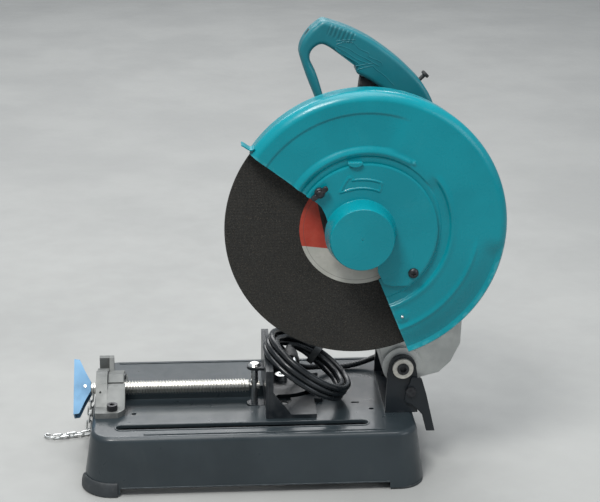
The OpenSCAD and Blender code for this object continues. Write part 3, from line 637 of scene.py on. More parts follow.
to_coil = Matrix.Translation(COIL * MM) @ TILT.to_4x4()
PLUG_X = -28
grip_line = [(0.5, -26), (8, -26), (11, -25), (12, -22), (12.2, -16), (11.2, -10), (10.6, -4), (11.2, 0),
             (11, 4), (9.5, 8), (7.6, 10.5)]
sleeve_line = [(7.0, 11), (7.0, 12.5), (6.2, 12.8), (6.2, 14), (6.7, 14.3), (6.7, 16), (5.9, 16.3), (5.9, 17.5),
               (6.3, 17.8), (6.3, 19.5), (5.4, 19.8), (5.2, 24.5), (0.5, 24.6)]
plug_body = lathe(grip_line + sleeve_line, (0, 0), "Y", 40, False)
for v in plug_body.vertices:
    v.co.z *= 0.86
    v.co.x += PLUG_X * MM
pin_line = [(0.3, -42), (1.4, -42), (2.3, -40.8), (2.4, -39), (2.4, -25.5), (0.3, -25.5)]
pins = [lathe(pin_line, (PLUG_X, i * 6), "Y", 20, False) for i in (-1, 1)]
plug = make_object("mains_plug", moved_mesh(plug_body, to_coil), black_plastic, "fence_plate", 40)
plug_pins = make_object("mains_plug_pins", moved_mesh(joined(pins), to_coil), zinc, "fence_plate", 40)

# strap round the coil's section, a rounded square loop with a thin wall
TIE_ANGLE, TIE_STEPS = math.radians(72), 48
BAND_R, BAND_HALF, BAND_HIGH, BAND_WIDE = 62, 13.2, 13.6, 5


def root(value):
    """Square root that keeps the sign."""
    return math.copysign(abs(value) ** 0.5, value)


band = []
for k in range(TIE_STEPS):
    t = 2 * math.pi * (k + 0.5) / TIE_STEPS
    band.append((BAND_R + BAND_HALF * root(math.cos(t)), BAND_HIGH * root(math.sin(t))))
inner = [(BAND_R + (r - BAND_R) * 0.9, h * 0.9) for r, h in band]
cos_tie, sin_tie = math.cos(TIE_ANGLE), math.sin(TIE_ANGLE)
tie_verts = []
for loop, shift in ((band, -BAND_WIDE), (band, BAND_WIDE), (inner, BAND_WIDE), (inner, -BAND_WIDE)):
    for r, h in loop:
        tie_verts.append(in_coil((r * cos_tie - sin_tie * shift, r * sin_tie + cos_tie * shift, h)))
tie = make_object("coil_strap", mesh_of("tie", tie_verts, strips(4, TIE_STEPS, True)), rubber, "fence_plate",
                  50)
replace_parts(coil, "cord_coil")
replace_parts(plug, "cord_plug")

# ---------------------------------------------------------------- guard
def smooth(x, a, b):
    """0 below a, 1 above b and a soft step between."""
    t = np.clip((x - a) / (b - a), 0, 1)
    return t * t * (3 - 2 * t)


def sheet_of_revolution(cx, cz, outer, relief, thickness, steps, rim=(0.0, 0.0, 0.0)):
    """Closed thin shell from a profile of (radius, y). relief(x, z, r, deg) raises its face towards -Y.

    rim is how far the outermost rings move in X and Z, and how much smaller they are.
    """
    prof = np.array(outer, float)
    d = np.gradient(prof, axis=0)
    n = np.stack([d[:, 1], -d[:, 0]], 1)
    n /= np.linalg.norm(n, axis=1)[:, None]
    inner = prof - n * thickness
    ang = 2 * np.pi * np.arange(steps) / steps
    deg = (np.degrees(ang) + 180) % 360 - 180
    verts = []
    for p in (prof, inner[::-1]):
        for r, y in p:
            w = float(smooth(np.array([r]), 158, 180)[0])
            rr = r - rim[2] * w
            x, z = cx + rim[0] * w + rr * np.cos(ang), cz + rim[1] * w + rr * np.sin(ang)
            lift = relief(x, z, np.full(steps, r), deg) * (1 - smooth(np.array([r]), 180, 187)[0])
            verts += list(zip(x, y - lift, z))
    mesh = bpy.data.meshes.new("sheet")
    mesh.from_pydata([tuple(c * MM for c in v) for v in verts], [], strips(2 * len(prof), steps, True))
    return cleaned(mesh)


RIVET = (197.8, 250.2)


def guard_relief(x, z, r, deg):
    """Pressed shapes of the guard's face: step, rib round the cover, recesses and the rivet's pad."""
    upper = smooth(deg, 68, 80)
    h = 1.6 * smooth(r, 99.5, 102.5)
    h -= 2.0 * (1 - smooth(r, 155.0, 159.5)) * smooth(r, 110, 116) * upper
    rib = smooth(deg, 56, 60)
    h += 2.0 * np.exp(-(((r - 106.6) / 3.7) ** 2)) * rib
    h = np.maximum(h, 3.6 * np.exp(-(((x - 206.8) / 3.2) ** 2) - (((z - 464.0) / 5.4) ** 2)))
    right = 1 - smooth(deg, 30, 42)
    h -= 3.0 * (1 - smooth(r, 110.5, 114.5)) * smooth(r, 99, 102) * right
    h += 1.2 * np.exp(-(((r - 116.5) / 3.0) ** 2)) * right
    low = 1 - smooth(deg, -14, -4)
    h -= 8.0 * smooth(r, 151, 184) * low
    h += 1.7 * np.exp(-(((r - 149.5) / 3.2) ** 2)) * low
    pad = np.hypot(x - RIVET[0], z - RIVET[1])
    h += 1.5 * (1 - smooth(pad, 7.4, 9.6))
    return h


# rings lie closest together where the relief is steep
radii = [r for a, b, n in ((72, 98, 9), (99, 116, 27), (118, 147, 14), (148.5, 164, 19), (166, 178, 7))
         for r in np.linspace(a, b, n)]
rim_line = [(180.5, -121.2), (183.6, -120.3), (186.6, -118.4), (188.8, -115.4), (189.9, -112), (189.8, -108),
            (188.8, -98), (187.6, -88), (186.9, -80), (186.4, -75)]
guard_profile = [(r, -121.3) for r in radii] + rim_line
shell = sheet_of_revolution(GX, GZ, guard_profile, guard_relief, 1.9, 300, (2.3, -2.3, 2.3))
fan_angles = np.radians(np.linspace(-67.5, 143, 14))
wedge = [(SX, SZ)] + [(SX + 330 * math.cos(t), SZ + 330 * math.sin(t)) for t in fan_angles]
shell = boolean(shell, [prism(wedge, -160, -50)], "INTERSECT")
bolt_hole = [(0, -135), (3.1, -135), (3.1, -100), (0, -100)]
shell = boolean(shell, [lathe(bolt_hole, at, "Y", 24, False) for at in ((WX, WZ), (PX, PZ))])
guard = make_object("wheel_guard_shell", bevelled(shell, 0.45, 2, 50), teal_paint, "head", 40)
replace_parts(guard, "wheel_guard")
# turned-out lip at the guard's front end
lip_line = [(0.6, 484.0), (-2.2, 482.0), (-5.4, 481.6), (-9.4, 483.4), (-13.6, 486.4), (-17.4, 488.4)]
lip_line = [tuple(p) for p in smooth_path(lip_line, 4)]
LIP_THICK = 1.8
offs = []
for i, (x, z) in enumerate(lip_line):
    before, after = Vector(lip_line[max(i - 1, 0)]), Vector(lip_line[min(i + 1, len(lip_line) - 1)])
    d = (after - before).normalized()
    offs.append((x + d.y * LIP_THICK, z - d.x * LIP_THICK))
lip = bevelled(prism(lip_line + offs[::-1], -119.5, -101, "Y"), 0.5, 2, 50)
make_object("wheel_guard_lip", lip, teal_paint, "head", 40)
rivet = lathe([(0, -126.5), (1.4, -126.3), (2.1, -125.4), (2.2, -123), (0, -123)], RIVET, "Y", 24, False)
make_object("guard_rivet", rivet, zinc, "head", 60)
# half-round tab that holds the edge of the centre cover, on a short leg
moon = [(119.8, 467.6), (139.4, 467.6)]
moon += [(129.6 + 9.8 * math.cos(t), 467.0 - 6.0 * math.sin(t)) for t in np.linspace(0.1, math.pi - 0.1, 14)]
leg = [(121, 465.4), (138.4, 465.4), (138.4, 467.4), (121, 467.4)]
tab = [bevelled(prism(moon, -130.6, -128.4), 0.8, 3, 40), bevelled(prism(leg, -129.4, -121.5), 0.4)]
make_object("guard_tab", joined(tab), teal_paint, "head", 40)

# ---------------------------------------------------------------- centre cover
def ribbon(x, z, points, width, soft):
    """1 inside the closed outline band of that width, 0 away from it."""
    best = np.full_like(x, 1e9)
    for (x0, z0), (x1, z1) in zip(points, points[1:] + points[:1]):
        dx, dz = x1 - x0, z1 - z0
        t = np.clip(((x - x0) * dx + (z - z0) * dz) / (dx * dx + dz * dz), 0, 1)
        best = np.minimum(best, np.hypot(x - x0 - t * dx, z - z0 - t * dz))
    return 1 - smooth(best, width, width + soft)


# outline of the turning arrow: its head, then two arcs round the boss
arrow = [(110.5, 426.5), (116.5, 438.5), (123, 448), (126.8, 442.6)] + arc(BX, BZ, 74.4, 97, 69.5, 8)
arrow += arc(BX, BZ, 62.6, 67.5, 99, 8) + [(121.5, 429.4)]


def cover_relief(x, z, r, deg):
    """Cup over the wheel bolt, arrow, swelling under the tab and the cover's dropped edge."""
    h = np.zeros_like(r)
    h += 26.5 * (1 - smooth(r, 41.2, 47.4)) ** 0.8
    h += 1.0 * ribbon(x, z, arrow, 0.7, 1.0)
    tab = np.hypot((x - 129.4) / 10.5, (z - 467.2) / 5.4)
    h += 2.6 * (1 - smooth(tab, 0.55, 1.0))
    edge = np.hypot(x - CX, z - CZ)
    h -= 0.8 * smooth(edge, 92.6, 95)
    return h


cr = [0.6] + list(np.linspace(4, 38, 9)) + list(np.linspace(39.5, 49.5, 17)) + list(np.linspace(50.6, 108, 64))
cover_profile = [(r, -126.6) for r in cr]
plate = cleaned(sheet_of_revolution(BX, BZ, cover_profile, cover_relief, 1.4, 288), 1e-7)
outline = [(67.0, 421.4), (79, 414.6), (86.6, 406.6), (91.6, 397.2)] + arc(BX, BZ, 47.2, 158, 300, 26)
outline += [(163.2, 315), (171.4, 298.6), (182, 295.2), (207.4, 295.4)] + arc(CX, CZ, 95, -50.2, 146.5, 90)
plate = boolean(plate, [prism(outline, -170, -110)], "INTERSECT")
# open slot that slides off the wing bolt when the cover swings
slot_line = [(WX + 3.7 * math.cos(t), WZ + 3.7 * math.sin(t)) for t in np.linspace(*np.radians((-42, 138)), 12)]
slot_line += [(WX - 2.6 - 24, WZ + 2.6 - 26), (WX + 2.6 - 24, WZ - 2.6 - 26)]
plate = boolean(plate, [prism(slot_line, -140, -110)])
cover = make_object("centre_cover_shell", bevelled(plate, 0.35, 2, 50), teal_paint, "cover", 40)
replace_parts(cover, "center_cover")
# pivot screw of the cover, with a cross recess
head_line = [(0, -131), (3.4, -130.8), (5.4, -130.0), (6.7, -128.6), (7.1, -127.0), (7.0, -126.4), (0, -126.4)]
cross = [prism([(PX - a, PZ - b), (PX + a, PZ - b), (PX + a, PZ + b), (PX - a, PZ + b)], -134, -128.4)
         for a, b in ((3.2, 0.75), (0.75, 3.2))]
screw_head = boolean(lathe(head_line, (PX, PZ), "Y", 40, False), cross)
screw_head = make_object("cover_screw_head", screw_head, black_oxide, "head", 40)
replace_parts(screw_head, "cover_screw")
# wing bolt
hub = lathe([(0, -137), (3.6, -137), (4.3, -136.3), (4.4, -134.5), (5.6, -134.2), (6.8, -133.2), (7.0, -130),
             (6.6, -127.2), (2.9, -127), (2.9, -113), (0, -113)], (WX, WZ), "Y", 40, False)
ear = [(4.2, -2.6), (7.6, -3.4), (11.2, -3.1), (12.9, -1.2), (12.9, 1.4), (11.4, 3.3), (8.2, 3.5), (4.2, 2.4)]
wings = []
for t in (40, 220):
    c, s = math.cos(math.radians(t)), math.sin(math.radians(t))
    turned_ear = [(WX + x * c - z * s, WZ + x * s + z * c) for x, z in smooth_path(ear, 4, True)]
    wings.append(bevelled(prism(turned_ear, -136.5, -131.5), 1.2, 3, 40))
wing = make_object("wing_bolt_body", joined([hub] + wings), black_oxide, "wing", 40)
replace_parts(wing, "wing_bolt")

# ---------------------------------------------------------------- wheel
BORE_R, WHEEL_R, LABEL_R = 12.7, 177.5, 78
disc = lathe([(BORE_R, WHEEL_FRONT), (WHEEL_R - 0.7, WHEEL_FRONT), (WHEEL_R, -99.9), (WHEEL_R, -98.1),
              (WHEEL_R - 0.7, WHEEL_BACK), (BORE_R, WHEEL_BACK)], (SX, SZ), "Y", 256)
wheel = make_object("abrasive_disc", disc, abrasive, "wheel_set", 40)
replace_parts(wheel, "abrasive_wheel")


def label_material():
    """Paper label: warm grey, a printed red field and a near-black field beside it, thin ring lines and fine fibre
    grain.
    """
    m = Nodes("paper_label", Roughness=0.6)
    paper = m.drift(m.noise(40, 6), 0.35, 0.65, (0.40, 0.40, 0.36), (0.47, 0.465, 0.425))
    above = m.ramp(m.plane(4.0 / 35.4, 1.0, -0.3520), -0.0004, 0.0004)
    left = m.ramp(m.plane(-60.8, -13.8, 60.8 * 0.0839 + 13.8 * 0.4018), -0.02, 0.02)
    red = m.drift(m.noise(60, 5), 0.3, 0.7, (0.36, 0.035, 0.018), (0.44, 0.055, 0.03))
    # near-black to the right of the red field's straight edge
    colour = m.mix(above, paper, m.mix(left, (0.018, 0.016, 0.014), red))
    dx = m.math("ADD", m.axis("X"), -SX * MM)
    dz = m.math("ADD", m.axis("Z"), -SZ * MM)
    r = m.math("SQRT", m.math("ADD", m.product(dx, dx), m.product(dz, dz)))
    ring = m.product(m.ramp(r, 0.0722, 0.0725), m.ramp(r, 0.0732, 0.0729))
    colour = m.layer(colour, ring, 0.55, (0.06, 0.058, 0.052))
    colour = m.layer(colour, m.ramp(m.noise(120, 7, 0.75), 0.52, 0.7), 0.16, (0.06, 0.052, 0.04))
    return m.done(colour, m.shine(m.noise(200, 4), 0.5, 0.72), m.bump(m.noise(1600, 3), 0.00006, 0.5))


PAPER = WHEEL_FRONT - 0.4
label_line = [(30, PAPER), (LABEL_R - 0.3, PAPER), (LABEL_R, -100.75), (LABEL_R, WHEEL_FRONT), (30, WHEEL_FRONT)]
label = lathe(label_line, (SX, SZ), "Y", 160)
label = make_object("paper_label_disc", label, label_material(), "wheel_set", 40)
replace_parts(label, "wheel_label")
washer = lathe([(9.4, -105.5), (43, -105.5), (45, -103.6), (45, PAPER), (9.4, PAPER)], (SX, SZ), "Y", 96)
washer = make_object("clamp_washer", bevelled(washer, 0.4), black_oxide, "wheel_set", 40)
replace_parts(washer, "outer_flange")

# ---------------------------------------------------------------- handle
GRIP = [(85.5, 628.5), (93.5, 633.6), (105, 631), (124, 624.6), (143.5, 615.8), (164, 604), (192, 583.5),
        (213, 564.5), (227.5, 549), (239, 531), (248, 508), (253, 484), (251.5, 466), (236, 448), (216, 441),
        (100, 440), (93, 470), (91, 510), (82.5, 534), (73, 557.5), (65.5, 579), (62.8, 592), (66.5, 606),
        (76, 620)]
WINDOW = [(95.5, 531), (86.5, 560), (79.3, 575), (76.6, 583), (77.6, 591), (83, 598.3), (91.5, 602.3),
          (101, 599), (114.5, 589.5), (134.5, 574.5), (137.7, 570), (138.4, 565.5), (141.5, 561.5),
          (149, 557.8), (158.5, 552.5), (168, 546), (186, 533), (192.5, 520), (189, 507), (176, 500.5), (150, 500), (112, 500), (101, 509)]


grip_outline, grip_hole = ([tuple(p) for p in smooth_path(line, 5, True)] for line in (GRIP, WINDOW))
motor_hole = arc(MX, MZ, 66.4, 0, 354, 59)


def turned(loop, ccw):
    """The closed outline, running counter-clockwise or clockwise."""
    area = sum(a[0] * b[1] - b[0] * a[1] for a, b in zip(loop, loop[1:] + loop[:1]))
    return loop if (area > 0) == ccw else loop[::-1]


def inside_of(points, loops):
    """Distance of each (x, z) inwards from the nearest outline edge, and that edge's inward direction."""
    best, depth = np.full(len(points), 1e9), np.zeros(len(points))
    way = np.zeros((len(points), 2))
    for loop in loops:
        p = np.array(loop)
        for a, e in zip(p, np.roll(p, -1, 0) - p):
            size = np.hypot(*e)
            if size < 1e-6:
                continue
            t = np.clip((points - a) @ e / size**2, 0, 1)
            v = points - (a + t[:, None] * e)
            d = np.hypot(v[:, 0], v[:, 1])
            n = np.array([-e[1], e[0]]) / size
            near = d < best
            best[near] = d[near]
            depth[near] = np.sign((v @ n)[near]) * d[near]
            way[near] = n
    return depth, way


def rounded_shell(outline, holes, y0, y1, edge, voxel):
    """Outline with holes between two Y values, its whole rim rounded to a radius."""
    body = boolean(prism(outline, y0, y1), [prism(h, y0 - 5, y1 + 5) for h in holes])
    o = helper("work", body)
    m = o.modifiers.new("remesh", "REMESH")
    m.mode = "VOXEL"
    m.voxel_size = voxel * MM
    mesh = frozen(o)
    co = np.empty(len(mesh.vertices) * 3)
    mesh.vertices.foreach_get("co", co)
    co = co.reshape(-1, 3) / MM
    loops = [turned(outline, True)] + [turned(h, False) for h in holes]
    depth, way = inside_of(co[:, [0, 2]], loops)
    mid, flat = (y0 + y1) / 2, (y1 - y0) / 2 - edge
    rise = np.abs(co[:, 1] - mid) - flat
    far = np.hypot(depth - edge, rise)
    bend = (depth < edge) & (rise > 0) & (far > edge)
    k = np.where(bend, edge / np.maximum(far, 1e-6), 1.0)
    move = np.where(bend, edge + (depth - edge) * k - depth, 0.0)
    co[:, 0] += way[:, 0] * move
    co[:, 2] += way[:, 1] * move
    co[:, 1] = np.where(bend, mid + np.sign(co[:, 1] - mid) * (flat + rise * k), co[:, 1])
    mesh.vertices.foreach_set("co", (co * MM).ravel())
    return mesh


def grip_material():
    """Moulded teal plastic with raised ribs across the grip."""
    m = Nodes("grip_plastic", Coat_Weight=0.05, Coat_Roughness=0.2)
    colour = m.drift(m.noise(10, 5), 0.35, 0.65, (0.0015, 0.115, 0.145), (0.003, 0.15, 0.185))
    colour = m.layer(colour, m.ramp(m.noise(26, 6, 0.7), 0.52, 0.74), 0.2, (0.05, 0.16, 0.18))
    colour = m.layer(colour, m.ramp(m.noise(500, 3), 0.6, 0.78), 0.25, (0.12, 0.22, 0.23))
    fine = m.bump(m.cells(1500).outputs["Distance"], 0.00008, 0.6)
    # the ribs start at x 0.103, z 0.625 and follow the back of the grip downwards
    along = m.plane(0.93, -0.36, -0.93 * 0.103 + 0.36 * 0.625)
    across = m.plane(0.36, 0.93, -0.36 * 0.103 - 0.93 * 0.625)
    ribs = m.wave(along, 0.0056)
    place = m.product(m.ramp(along, -0.003, 0.0), m.ramp(along, 0.037, 0.034),
                      m.product(m.ramp(across, -0.012, -0.008), m.ramp(across, 0.006, 0.002)))
    # painted shade: the grooves between the ribs are darkened
    rib_groove_shade = m.product(place, m.ramp(ribs, -0.9, 0.1, 1.0, 0.0))
    colour = m.layer(colour, rib_groove_shade, 0.35, (0.001, 0.05, 0.065))
    return m.done(colour, m.shine(m.noise(34, 6, 0.65), 0.36, 0.52),
                  m.bump(m.product(ribs, place), 0.0005, 0.8, fine))


grip_plastic = grip_material()
whole_grip = rounded_shell(grip_outline, [grip_hole, motor_hole], -38, -2, 6.2, 1.25)
for name, y0, y1, node in (("near", -50, -20.3, "handle_near_shell"), ("far", -19.7, 10, "handle_far_shell")):
    side_of_joint = prism([(40, 420), (280, 420), (280, 660), (40, 660)], y0, y1)
    half = boolean(whole_grip.copy(), [side_of_joint], "INTERSECT")
    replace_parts(make_object(f"grip_{name}", half, grip_plastic, "head", 50), node)
# fan of raised lines at the bend of the grip
fan = [[(111.3, 607.0), (120.0, 608.5), (136.3, 609.2)],
       [(110.4, 602.6), (121.9, 606.0), (133.5, 605.0), (141.4, 597.2), (154.1, 591.2), (155.2, 586.3),
        (169.9, 579.4), (172.9, 574.5)],
       [(111.0, 602.2), (125.9, 597.8), (137.7, 590.4), (149.4, 584.4), (165.1, 575.5), (168.1, 573.5)],
       [(110.1, 600.3), (124.1, 592.4), (139.8, 582.5), (153.4, 577.6)],
       [(109.7, 598.3), (120.3, 589.5), (135.9, 580.6), (141.8, 576.3)],
       [(109.4, 597.4), (120.6, 587.0), (135.2, 575.6)], [(137.1, 573.8), (147.7, 575.6), (161.2, 577.5)],
       [(140.1, 568.8), (149.7, 571.7), (159.4, 573.6), (165.3, 568.6), (177.2, 559.7), (189.3, 546.8)]]
lines = [tube(smooth_path([(x, -37.85, z) for x, z in line], 6), 0.6, 8) for line in fan]
make_object("grip_lines", joined(lines), grip_plastic, "head", 60)
screw_line = [(0, -32), (1.9, -32), (1.9, -5.2), (3.6, -5.2), (3.9, -4.4), (3.5, -2.4), (1.2, -2.2), (0, -3.4)]
screws = [lathe(screw_line, at, "Y", 24, False) for at in ((92, 612), (236, 480), (108, 484))]
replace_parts(make_object("grip_screws", joined(screws), zinc, "head", 50), "handle_screws")

knob_line = [(0, -3.5), (2.7, -3.5), (2.7, 5.0), (5.2, 5.4), (5.8, 6.2), (5.8, 8.8), (5.1, 9.6), (1.6, 9.8),
             (0, 9.3)]
knob = lathe(knob_line, (0, 0), "Z", 28, False)
knob.transform(Matrix.Translation(Vector((228, -20, 553)) * MM) @ Matrix.Rotation(math.radians(45), 4, "Y"))
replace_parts(make_object("lock_knob", knob, black_plastic, "lock_button", 50), "lock_off_button")

# ---------------------------------------------------------------- vise screw
PITCH_MM, THREAD_X = 4.0, -226


def thread(x0, turns, root, crest, pitch, steps=40):
    """Screw thread along X: rows of its section, each turned once round the screw."""
    shape = [(0.0, root), (0.2, root), (0.42, crest), (0.58, crest), (0.8, root)]
    rows = turns * len(shape) + 1
    verts, faces = [], []
    for j in range(rows):
        t, r = divmod(j, len(shape))
        f, rad = shape[r]
        for k in range(steps + 1):
            x = x0 + pitch * (t + f + k / steps)
            full = max(0.0, min(1.0, (x - x0) / 3.0, (x0 + pitch * (turns + 1) - x) / 3.0))
            rr = root + (rad - root) * full
            a = 2 * math.pi * k / steps
            verts.append((x, VY + rr * math.cos(a), VZ + rr * math.sin(a)))
    for j in range(rows - 1):
        for k in range(steps):
            q = j * (steps + 1) + k
            faces.append((q, q + 1, q + steps + 2, q + steps + 1))
    return mesh_of("thread", verts, faces)


def thread_material():
    """Bright screw steel with painted shade in its thread grooves."""
    m = Nodes("thread_steel", Metallic=1.0)
    angle = m.math("ARCTAN2", m.math("ADD", m.axis("Z"), -VZ * MM), m.math("ADD", m.axis("Y"), -VY * MM))
    turns = m.math("DIVIDE", m.math("ADD", m.axis("X"), -THREAD_X * MM), PITCH_MM * MM)
    phase = m.math("FRACT", m.math("SUBTRACT", turns, m.math("DIVIDE", angle, 2 * math.pi)))
    # painted shade: the thread's grooves get a near-black colour, its crests bright steel
    crest = m.product(m.ramp(phase, 0.2, 0.38), m.ramp(phase, 0.8, 0.62))
    bright = m.drift(m.noise(30, 4), 0.35, 0.65, (0.60, 0.59, 0.55), (0.72, 0.71, 0.67))
    return m.done(m.mix(crest, (0.10, 0.095, 0.08), bright), m.shine(m.noise(60, 4), 0.3, 0.4))


def rod(x0, x1, r, chamfer=0.6):
    """Bar on the screw's line with both ends chamfered."""
    line = [(0, x0), (r - chamfer, x0), (r, x0 + chamfer), (r, x1 - chamfer), (r - chamfer, x1), (0, x1)]
    return lathe(line, (VY, VZ), "X", 48, False)


# core, handle end, neck in the pin and the two steps of the tip
parts = [rod(-227, -3.5, 8.0, 1.0), rod(-251, -226, 7.0), rod(-5, 4.4, 3.4, 0.4), rod(6.5, 12, 5.8, 0.8),
         rod(4, 7, 3.6, 0.2)]
make_object("clamp_screw_thread", thread(THREAD_X, 54, 7.9, 9.95, PITCH_MM), thread_material(), "screw", 32)
screw = make_object("clamp_screw", joined(parts), screw_steel, "screw", 32)
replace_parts(screw, "vise_screw")

# ---------------------------------------------------------------- return spring
def helix(centre, r, y0, y1, turns, wire, sides=10, steps=30):
    """Wound wire spring along Y with flat end turns."""
    pts = []
    n = int(turns * steps)
    for i in range(n + 1):
        t = i / n
        e = min(1.0, max(0.0, (t * turns - 0.8) / (turns - 1.6)))
        a = 2 * math.pi * t * turns
        y = y0 + wire + (y1 - y0 - 2 * wire) * e
        pts.append((centre[0] + r * math.cos(a), y, centre[1] + r * math.sin(a)))
    return tube(pts, wire, sides)


spring = make_object("torsion_spring", helix((HX, HZ), 20.2, 20.7, 63.9, 6, 3.0), steel, "base", 50)
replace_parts(spring, "return_spring")

# ---------------------------------------------------------------- chains
LINK_HALF, LINK_W, WIRE = 4.4, 2.9, 1.45


def chain_link(centre, along, flat):
    """One welded oval link. along points down the chain, flat is the link's thin direction."""
    along, flat = Vector(along).normalized(), Vector(flat)
    across = flat.cross(along).normalized()
    pts = []
    for s in (1, -1):
        for k in range(9):
            a = math.pi * k / 8 - math.pi / 2
            u, v = s * (LINK_HALF + LINK_W * math.cos(a)), s * LINK_W * math.sin(a)
            pts.append(tuple(Vector(centre) + along * u + across * v))
    return tube(pts, WIRE, 10, True)


CHAIN_Y = 45
eye = [(x, CHAIN_Y, z) for x, z in arc(-234, 70.3, 3.4, 0, 345, 23)]
links = [tube([(-236, CHAIN_Y, 73), (-225.7, CHAIN_Y, 73)], 1.6, 10), tube(eye, 1.5, 10, True)]
for i in range(5):
    c = (-234.4 - 1.3 * i, CHAIN_Y, 62.3 - 11 * i)
    links.append(chain_link(c, (-1.3, 0, -11), (0, 1, 0) if i % 2 == 0 else (1, 0, -0.12)))
down = make_object("chain_down", joined(links), zinc, "base", 50)
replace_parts(down, "chain_hanging")
links = []
for i in range(5):
    c = (-244.6 - 10.2 * i, CHAIN_Y - 2.2 * i, 4.6)
    links.append(chain_link(c, (-10.2, -2.2, 0), (0, 0, 1) if i % 2 else (0.2, -1, 0.1)))
hook = [(-288, 35.7, 4.4), (-291, 34.5, 4.2), (-295, 34.5, 3.9), (-299.5, 36.5, 3.6), (-303, 40.0, 3.2),
        (-304.5, 44.2, 2.9), (-303.2, 48.2, 2.6), (-299.8, 49.3, 2.4), (-297.2, 47.0, 2.4)]
links.append(tube(smooth_path(hook, 5), 1.5, 10))
tail = make_object("chain_end_links", joined(links), zinc, "chain_end", 50)
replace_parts(tail, "chain_tail")

# ---------------------------------------------------------------- base
TOP, SHEET = 82.0, 2.5


def round_rect(hl, hw, r, steps=14):
    pts = []
    for cx, cy, a0 in ((hl - r, hw - r, 0), (r - hl, hw - r, 90), (r - hl, r - hw, 180), (hl - r, r - hw, 270)):
        pts += arc(cx, cy, r, a0, a0 + 90, steps)
    return pts


def loft(rows):
    """Closed solid through rounded rectangles: rows of (half length, half width, corner radius, z)."""
    loops = [round_rect(hl, hw, r) for hl, hw, r, z in rows]
    n = len(loops[0])
    verts = [(x, y, row[3]) for loop, row in zip(loops, rows) for x, y in loop]
    ends = [tuple(range(n)), tuple((len(rows) - 1) * n + k for k in range(n))]
    return mesh_of("loft", verts, ends + strips(len(rows), n))


def pan_rows(off, low, high, edge):
    """Rows of the sloping pan with a rounded upper edge, each set in by off."""
    rows = []
    for z in (low, 14, 34, 54, high - edge):
        grow = (high - edge - z) * 0.155
        rows.append((226.6 + grow - off, 133.2 + grow - off, 33 + grow - off, z))
    for t in range(1, 8):
        a = t / 7 * math.pi / 2
        inset = edge * (1 - math.cos(a))
        rows.append((226.6 - inset - off, 133.2 - inset - off, 33 - inset - off,
                     high - edge + edge * math.sin(a)))
    return rows


def slot_shape(x0, x1, y, w, steps=8):
    """Outline along X with half-round ends."""
    r = w / 2
    return arc(x1 - r, y, r, -90, 90, steps) + arc(x0 + r, y, r, 90, 270, steps)


def hole(x, y, r):
    return prism(arc(x, y, r, 0, 345, 23), 50, 95, "Z")


def box(x, y0, y1, z0, z1):
    """Bar across the middle of the base, x to each side."""
    return prism([(-x, y0), (x, y0), (x, y1), (-x, y1)], z0, z1, "Z")


pan = boolean(loft(pan_rows(0, 3.0, TOP, 8.0)), [loft(pan_rows(SHEET, 2.0, TOP - SHEET, 6.0))])
trough = [(-188, -60), (-178, -60), (-168, -37), (30, -37), (30, 31), (-188, 31)]
trough_out = [(-190.5, -62.5), (-176.4, -62.5), (-166.4, -39.5), (32.5, -39.5), (32.5, 33.5), (-190.5, 33.5)]
kerf_wall = prism(slot_shape(-195, 162, KERF_Y, 21), 78, TOP - 0.5, "Z")
pan = boolean(pan, [prism(trough_out, 62, TOP - 1, "Z"), kerf_wall], "UNION")
swing = 60 * math.cos(math.radians(45))
cuts = [prism(trough, 64, 95, "Z"), prism(slot_shape(-191, 158, KERF_Y, 14), 50, 95, "Z"),
        prism(slot_shape(141, 153, -33, 4), 50, 95, "Z")]
# bench bolts, vise bracket bolts, then the fence's pivot and clamp bolts and a spare hole
cuts += [hole(-168, -55, 3.5), hole(168, -55, 3.5), hole(-198, -57, 4), hole(-189.5, 51, 4), hole(45, 40, 5),
         hole(45 + swing, 40 - swing, 5), hole(45, -30, 6)]
# openings between the feet
cuts += [box(186, -200, 200, 0, 11), box(300, -96, 96, 0, 11)]
pan = bevelled(boolean(pan, cuts), 1.1, 3, 50)
base_mesh = make_object("pressed_base", pan, base_paint, "base", 30)
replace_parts(base_mesh, "base_pan")


def bead(x0, x1, y, w, height):
    """Raised pressing along X with round ends, standing on the work surface."""
    b = prism(slot_shape(x0, x1, y, w, 12), TOP - 0.4, TOP + height, "Z")
    return bevelled(b, height * 0.9, 4, 60)


roll = prism(slot_shape(-193.6, 160.6, KERF_Y, 19.2, 12), TOP - 0.5, TOP + 1.0, "Z")
roll = boolean(roll, [prism(slot_shape(-191.2, 158.2, KERF_Y, 14.4, 12), 70, 95, "Z")])
beads = [bead(-153, 180, -121, 3.6, 1.3), bead(-196, 180, 121, 3.6, 1.3), bevelled(roll, 0.8, 4, 60)]
for iy in (-1, 1):
    beads.append(bevelled(box(186, iy * 141.2, iy * 143.9, 11.2, 13.2), 0.7, 3, 60))
make_object("base_beads", joined(beads), base_paint, "base", 50)

cap_rows = [(240.4, 147.0, 46, 0), (241.2, 147.8, 46.5, 2.0), (240.8, 147.4, 46.3, 9.0),
            (239.6, 146.2, 45.5, 15.0), (238.2, 144.8, 44.5, 18.4), (236.6, 143.2, 43, 20.0)]
for name, iy in (("foot_front_near", -1), ("foot_front_far", 1)):
    foot = boolean(loft(cap_rows), [loft(pan_rows(-0.15, 2.4, TOP, 8.0))])
    block = prism([(-260, iy * 107), (-189, iy * 107), (-189, iy * 170), (-260, iy * 170)], -5, 40, "Z")
    foot = boolean(foot, [block], "INTERSECT")
    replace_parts(make_object(f"rubber_{name}", bevelled(foot, 1.3, 3, 40), rubber, "base", 40), name)

